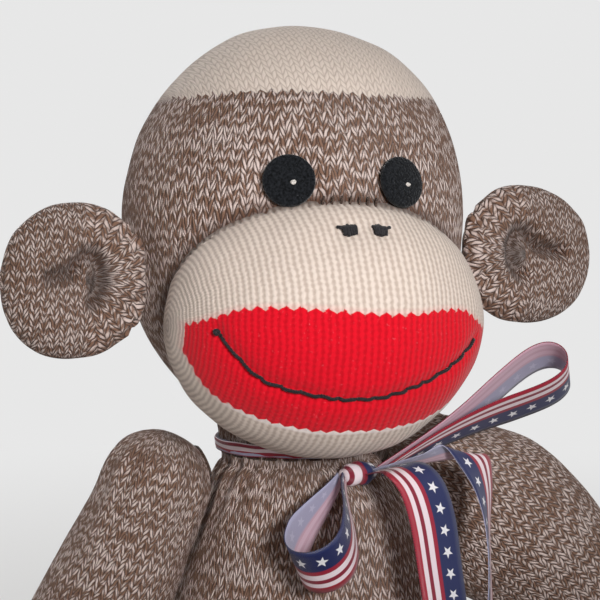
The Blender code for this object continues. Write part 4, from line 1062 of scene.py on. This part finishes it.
def make_eye(side, sign):
    seat, outward = eye_seats[side]
    disc = bmesh.new()
    bmesh.ops.create_cone(
        disc, cap_ends=True, segments=96, radius1=EYE_RADIUS, radius2=EYE_RADIUS * 0.99, depth=EYE_THICKNESS,
    )
    rims = [edge for edge in disc.edges if max(len(face.verts) for face in edge.link_faces) > 4]
    bmesh.ops.bevel(disc, geom=rims, offset=0.0006, segments=3, profile=0.5, affect="EDGES", material=-1)
    caps = [face for face in disc.faces if len(face.verts) > 4]
    for _ in range(8):
        bmesh.ops.inset_region(disc, faces=caps, thickness=0.0007, use_even_offset=True)
    turn = outward.to_track_quat("Z", "Y").to_matrix()
    for vert in disc.verts:
        reach = hypot(vert.co.x, vert.co.y) / EYE_RADIUS
        angle = atan2(vert.co.y, vert.co.x)
        edge = 1 + 0.012 * noise.noise(Vector((cos(angle) * 9, sin(angle) * 9, sign))) * reach
        swell = 0.0007 * (1 - reach ** 2) if vert.co.z > 0 else 0
        local = Vector((vert.co.x * edge, vert.co.y * edge, vert.co.z + swell + EYE_THICKNESS / 2 + 0.0001))
        vert.co = seat + turn @ local
    bmesh.ops.recalc_face_normals(disc, faces=disc.faces)
    eye = make_piece("eye_felt_" + side, disc, [felt])
    dress(eye, "head", "black_felt", "eye_disc_" + side)
    # Painted highlight: a tiny white speck on each eye.
    glint = bmesh.new()
    bmesh.ops.create_icosphere(glint, subdivisions=3, radius=0.0008)
    across = (Vector((1, 0, 0)) - outward * outward.x).normalized()
    centre = seat + across * 0.0013 - Vector((0, 0, 0.0009)) + outward * (EYE_THICKNESS + 0.0009)
    for vert in glint.verts:
        vert.co *= 1 + 0.5 * noise.noise(vert.co * 900 + Vector((sign, 0, 0)))
        vert.co = centre + turn @ Vector((vert.co.x * 1.1, vert.co.y * 0.8, vert.co.z * 0.55))
    sparkle = make_piece("eye_glint_" + side, glint, [white_thread])
    dress(sparkle, "head", "white_thread", "eye_sparkle_" + side)


for side, sign in SIDES:
    make_eye(side, sign)

# %% [markdown]
# ## Ribbon
# One satin ribbon, printed with stripes and a row of stars, is tied in a bow behind the chin. Its
# pattern is worked out across its width from the red edge, and each star is a sum of one straight
# edge folded five times. The back is unprinted and paler. Each strip is a flat grid laid along a
# route, and its thickness comes from a Solidify modifier that gives the back its own material.

# %% Satin
RIBBON_WIDTH, RIBBON_MAP = 0.0159, "ribbon"
STAR_PITCH, STAR_RADIUS, STAR_ROW = 0.0062, 0.00185, 0.715
STRIPES = (
    (0.13, (250, 232, 238)), (0.225, (140, 14, 46)), (0.31, (250, 232, 238)), (0.43, (160, 18, 50)),
    (0.52, (12, 28, 84)),
)


def star_mask(bench, x, y):
    """1 inside a five-pointed star round the origin, in metres."""
    tilt = tau / 5
    reach = (x.square() + y.square()).root()
    angle = x.arctan(y) / tilt + 0.5
    folded = ((angle.fract() - 0.5) * tilt).absolute()
    notch = STAR_RADIUS * 0.42
    corner = Vector((notch * cos(tilt / 2), notch * sin(tilt / 2)))
    edge = corner - Vector((STAR_RADIUS, 0))
    out = Vector((-edge.y, edge.x)).normalized()
    out = out if out.x > 0 else -out
    cosine = (folded + pi / 2).sine()
    along = reach * cosine * out.x + reach * folded.sine() * out.y
    return 1 - along.step(STAR_RADIUS * out.x - 0.00008, STAR_RADIUS * out.x + 0.00008)


def satin(name, printed):
    bench = Bench(name, Sheen_Weight=0.15, Specular_IOR_Level=0.55, Anisotropic=0.4)
    across, along, _ = bench.split(bench.map(RIBBON_MAP))
    ribs = ((along / 0.00030 + across * 9) * tau).sine() * 0.5 + 0.5
    colour = linear(168, 18, 48)
    for start, shade in STRIPES:
        colour = bench.mix(across.step(start - 0.006, start + 0.006), colour, linear(*shade))
    cell = (along / STAR_PITCH).floor()
    turn = (bench.chance(cell, 2.0) - 0.5) * 0.5
    x = (across - STAR_ROW) * RIBBON_WIDTH
    y = (along / STAR_PITCH - cell - 0.5) * STAR_PITCH
    star = star_mask(bench, x + y * turn, y - x * turn)
    colour = bench.mix(star, colour, linear(246, 244, 248))
    picot = (((along / 0.0008) * tau).sine() * 0.5 + 0.5).step(0.4, 0.8)
    rim = (across.least(1 - across)).step(0.0, 0.03)
    colour = bench.mix((1 - rim) * picot * 0.7, colour, linear(40, 10, 40))
    if not printed:
        ghost = bench.mix(across.step(0.45, 0.55), linear(226, 190, 206), linear(190, 188, 214))
        colour = bench.mix(0.14, ghost, colour)
    shaded = bench.mix(ribs * 0.16, colour, linear(30, 10, 30))
    rough = 0.34 + ribs * 0.12
    return bench.finish(shaded, ribs, 0.00004, rough)


ribbon_front, ribbon_back = satin("printed satin", True), satin("back of the satin", False)


def thicken(strip, thickness):
    """Give a strip its thickness, with its second material on the other face and the rim."""
    wall = strip.modifiers.new("thickness", "SOLIDIFY")
    wall.thickness, wall.offset, wall.material_offset, wall.material_offset_rim = thickness, 0, 1, 1


def lay_ribbon(name, centres, wides, steps=70, sides=(ribbon_back, ribbon_front)):
    """Ribbon along tables of its middle and of the half width towards its blue edge."""
    strip = bmesh.new()
    bmesh.ops.create_grid(strip, x_segments=8, y_segments=steps, size=0.5)
    chart = strip.loops.layers.uv.new(RIBBON_MAP)
    count = len(centres) - 1
    middles = [(index / count, point) for index, point in enumerate(centres)]
    halves = [(index / count, wide) for index, wide in enumerate(wides)]
    walked, lengths, before = 0, {}, curve(middles, 0)
    for step in range(steps + 1):
        here = curve(middles, step / steps)
        walked += (here - before).length
        lengths[step], before = walked, here
    for face in strip.faces:
        for loop in face.loops:
            row = round((loop.vert.co.y + 0.5) * steps)
            loop[chart].uv = (loop.vert.co.x + 0.5, lengths.get(row, walked))
    for vert in strip.verts:
        across, share = vert.co.x * 2, vert.co.y + 0.5
        vert.co = curve(middles, share) + curve(halves, share) * across
    piece = make_piece(name, strip, sides)
    thicken(piece, 0.00030)
    return piece, walked


# %% [markdown]
# ## Loops and ends of the bow
# The left loop stands up beside the cheek and the right one hangs over the chest, so that the camera
# looks into it and sees the pale back. A loop leaves the knot, swells and comes back. Both ends fall
# over the chest, one turned to the front and one almost edge-on.

# %% Lay the loops
KNOT = Vector((0.00964, -0.02799, 0.15900))
KNOT_TURN = Matrix.Rotation(radians(19), 3, "Z")
LOOPS = {
    "left": (0.0665, 0.0125, 3, Vector((0.850, -0.200, 0.487)), Vector((0.40, 0.68, -0.61))),
    "right": (0.0375, 0.0160, 1, Vector((-0.50, -0.66, -0.56)), Vector((-0.44, -0.32, 0.84))),
}


def loop_tables(side, sign):
    length, spread, sharpness, along, wide = LOOPS[side]
    along = along.normalized()
    wide = (wide - along * wide.dot(along)).normalized()
    across = along.cross(wide)
    start = KNOT + KNOT_TURN @ Vector((sign * 0.0076, -0.0014, 0))
    fullest = (sharpness + 0.5) / (sharpness + 1)
    peak = sqrt(fullest * (1 - fullest)) * fullest ** sharpness
    centres, wides = [], []
    for step in range(41):
        turn = tau * step / 40
        reach = (1 - cos(turn)) / 2
        swell = sin(turn) / 2 * reach ** sharpness / peak * spread / 2
        split = 0.0008 * (1 if step < 20 else -1) * (1 - reach)
        centres.append(start + along * length * reach + across * (swell + split))
        pinch = 0.26 + 0.74 * min(1, reach * 1.6)
        wides.append(wide * RIBBON_WIDTH / 2 * pinch)
    return centres, wides


for side, sign in SIDES:
    loop, walked = lay_ribbon("bow_loop_" + side, *loop_tables(side, sign), steps=120)
    dress(loop, "collar", "ribbon", "ribbon_loop_" + side)

# %% Lay the ends
TAIL_DROP = 0.062
ENDS = {
    "left": (
        ((0, .075, 0), (.20, -.10, .08), (.35, -.16, .12), (.44, -.18, .07), (.485, -.20, -.06),
         (.49, -.23, -.25), (.485, -.26, -.48), (.475, -.27, -.72), (.44, -.27, -.93)),
        ((.10, .16, -.10), (.20, .30, -.22), (.72, .28, -.30), (.78, .34, .10), (.62, .50, .08),
         (.50, .74, -.10), (.50, .80, -.12), (.60, .74, -.10), (.70, .66, -.06)),
    ),
    "right": (
        ((.05, .06, 0), (.075, -.105, .05), (.10, -.24, .07), (.15, -.315, 0), (.19, -.35, -.15),
         (.22, -.37, -.38), (.26, -.365, -.62), (.30, -.34, -.86), (.31, -.31, -1)),
        ((.20, .03, .04), (.45, .05, .10), (.80, .10, .16), (.92, .14, .14), (.96, .14, .06), (.96, .18, 0),
         (.96, .20, -.04), (.96, .20, -.06), (.96, .20, -.06)),
    ),
}
for side, sign in SIDES:
    start = KNOT + KNOT_TURN @ Vector((sign * 0.0068 / 3, -0.0050, 0))
    centres = [start + Vector(share) * TAIL_DROP for share in ENDS[side][0]]
    wides = [Vector(share) * -sign * RIBBON_WIDTH / 2 for share in ENDS[side][1]]
    sides = (ribbon_front, ribbon_back) if side == "left" else (ribbon_back, ribbon_front)
    end, walked = lay_ribbon("bow_end_" + side, centres, wides, sides=sides)
    dress(end, "collar", "ribbon", "ribbon_tail_" + side)

# %% [markdown]
# ## Knot and neck band
# Round the neck the ribbon is crushed into three folds one behind the other, and the knot is a short
# turn of it, drawn tight over the crossing.

# %% Fold the neck band
BAND_MIDDLE, BAND_RADIUS = 0.1657, 0.0245
band = bmesh.new()
bmesh.ops.create_grid(band, x_segments=24, y_segments=96, size=0.5)
chart = band.loops.layers.uv.new(RIBBON_MAP)
# Each fold's edge: a share of the ribbon's width, and a rise and a distance outward.
FOLDS = (
    (0.0, Vector((-0.0018, 0.0000))), (0.32, Vector((0.0018, 0.0005))), (0.36, Vector((0.0019, 0.0002))),
    (0.64, Vector((-0.0018, 0.0000))), (0.68, Vector((-0.0019, -0.0003))), (1.0, Vector((0.0018, -0.0004))),
)
for face in band.faces:
    for loop in face.loops:
        loop[chart].uv = (loop.vert.co.x + 0.5, (loop.vert.co.y + 0.5) * tau * BAND_RADIUS)
for vert in band.verts:
    share, turn = vert.co.x + 0.5, (vert.co.y + 0.5) * tau
    index = next(i for i in range(len(FOLDS) - 1) if share <= FOLDS[i + 1][0])
    (low, start), (high, stop) = FOLDS[index], FOLDS[index + 1]
    rise, out = start + (stop - start) * ((share - low) / (high - low))
    crush = 0.00018 * noise.noise(Vector((cos(turn) * 3, sin(turn) * 3, share * 4)))
    reach = BAND_RADIUS + out + crush
    vert.co = (reach * cos(turn), reach * sin(turn), BAND_MIDDLE + rise + 2 * crush)
bmesh.ops.remove_doubles(band, verts=band.verts, dist=1e-7)
neck_band = make_piece("neck_ribbon", band, [ribbon_back, ribbon_front])
thicken(neck_band, 0.00022)
dress(neck_band, "collar", "ribbon", "ribbon_neck_band")

# %% Tie the knot
def knot_place(turn, along):
    angle, lift = tau * turn, pi * along
    local = Vector((
        0.0062 * -cos(lift), 0.0041 * sin(lift) ** 0.7 * cos(angle),
        0.0034 * sin(lift) ** 0.6 * sin(angle),
    ))
    return KNOT + KNOT_TURN @ local


def knot_relief(point, turn, along):
    return 0.00035 * sin(pi * along) * sin(tau * 4 * along + 3 * noise.noise(point * 150))


tied = wrap("bow_knot", (0.03, 0.8), (48, 40), knot_place, knot_relief, ribbon_front)
tied.data.uv_layers[STITCH_MAP].name = RIBBON_MAP
for loop_uv in tied.data.uv_layers[RIBBON_MAP].data:
    loop_uv.uv = (0.1 + loop_uv.uv[1], loop_uv.uv[0])
dress(tied, "collar", "ribbon", "ribbon_knot")

# %% [markdown]
# ## Gathering and sewing threads
# The neck's gathering thread, and the rings of stitches that hold the arms and the tail, are CAD
# nodes whose shape is right, so they only take the thread material.

# %% Thread on the CAD nodes
for name in ("neck_gather_thread", "shoulder_stitches_left", "shoulder_stitches_right", "tail_stitches"):
    for slot in nodes[name].material_slots:
        slot.material = brown_thread
    print(name, "takes", brown_thread.name)

# %% [markdown]
# ## Floor and light
# The doll sits on a pale floor in a pale room. A small lamp near the camera gives the frontal light of
# the photograph, two broad ones at the sides and one behind round the form, and the world fills in.

# %% Floor
ROOM_LEVEL = 0.80


def floor_material():
    """Pale floor that fades into the room's own colour away from the doll."""
    bench = Bench("pale floor", Roughness=0.8)
    bench.shader.inputs["Base Color"].default_value = linear(228, 226, 223)
    across, deep, _ = bench.split(bench.place())
    away = (across.square() + deep.square()).root().step(0.2, 1.1)
    seen = bench.add("ShaderNodeLightPath", {}, "Is Camera Ray") * (0.5 + away * 0.5)
    glow = bench.add("ShaderNodeEmission", {0: (ROOM_LEVEL, ROOM_LEVEL, ROOM_LEVEL, 1), 1: 1.0})
    cloth = Number(bench, bench.shader.outputs[0])
    both = bench.add("ShaderNodeMixShader", {0: seen, 1: cloth, 2: glow})
    bench.tree.links.new(both.socket, bench.tree.nodes["Material Output"].inputs["Surface"])
    return bench.material


ground = bmesh.new()
bmesh.ops.create_circle(ground, cap_ends=True, segments=96, radius=40)
floor = make_piece("floor", ground, [floor_material()])
floor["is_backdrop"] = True

# %% Lamps and world
def soft_lamp(name, place, aim, size, power, spread=180):
    data = bpy.data.lights.new(name, "AREA")
    data.shape, data.size, data.energy, data.spread = "DISK", size, power, radians(spread)
    lamp = add_object(name, data)
    turn = (Vector(aim) - Vector(place)).to_track_quat("-Z", "Y").to_matrix().to_4x4()
    lamp.matrix_world = Matrix.Translation(Vector(place)) @ turn


soft_lamp("front lamp", (-0.06, -0.62, 0.33), (-0.005, -0.05, 0.215), 0.14, 0.195, 42)
soft_lamp("side lamp", (1.0, -0.1, 0.6), (0, 0, 0.15), 0.7, 1.4)
soft_lamp("other side lamp", (-1.0, 0.2, 0.6), (0, 0, 0.15), 0.7, 1.4)
soft_lamp("back lamp", (-0.2, 1.0, 0.9), (0, 0, 0.15), 0.8, 5)
world = bpy.data.worlds.new("pale room")
bpy.context.scene.world = world
world.use_nodes = True
sky = world.node_tree
background = sky.nodes["Background"]
background.inputs["Color"].default_value = (1, 1, 1, 1)
rays = sky.nodes.new("ShaderNodeLightPath")
seen = sky.nodes.new("ShaderNodeMath")
seen.operation = "MAXIMUM"
level = sky.nodes.new("ShaderNodeMapRange")
level.inputs[3].default_value, level.inputs[4].default_value = 0.15, ROOM_LEVEL
sky.links.new(rays.outputs["Is Camera Ray"], seen.inputs[0])
sky.links.new(rays.outputs["Is Glossy Ray"], seen.inputs[1])
sky.links.new(seen.outputs[0], level.inputs[0])
sky.links.new(level.outputs[0], background.inputs["Strength"])

# %% Finish
low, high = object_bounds()
print("visual box", [round(value, 3) for value in high - low])
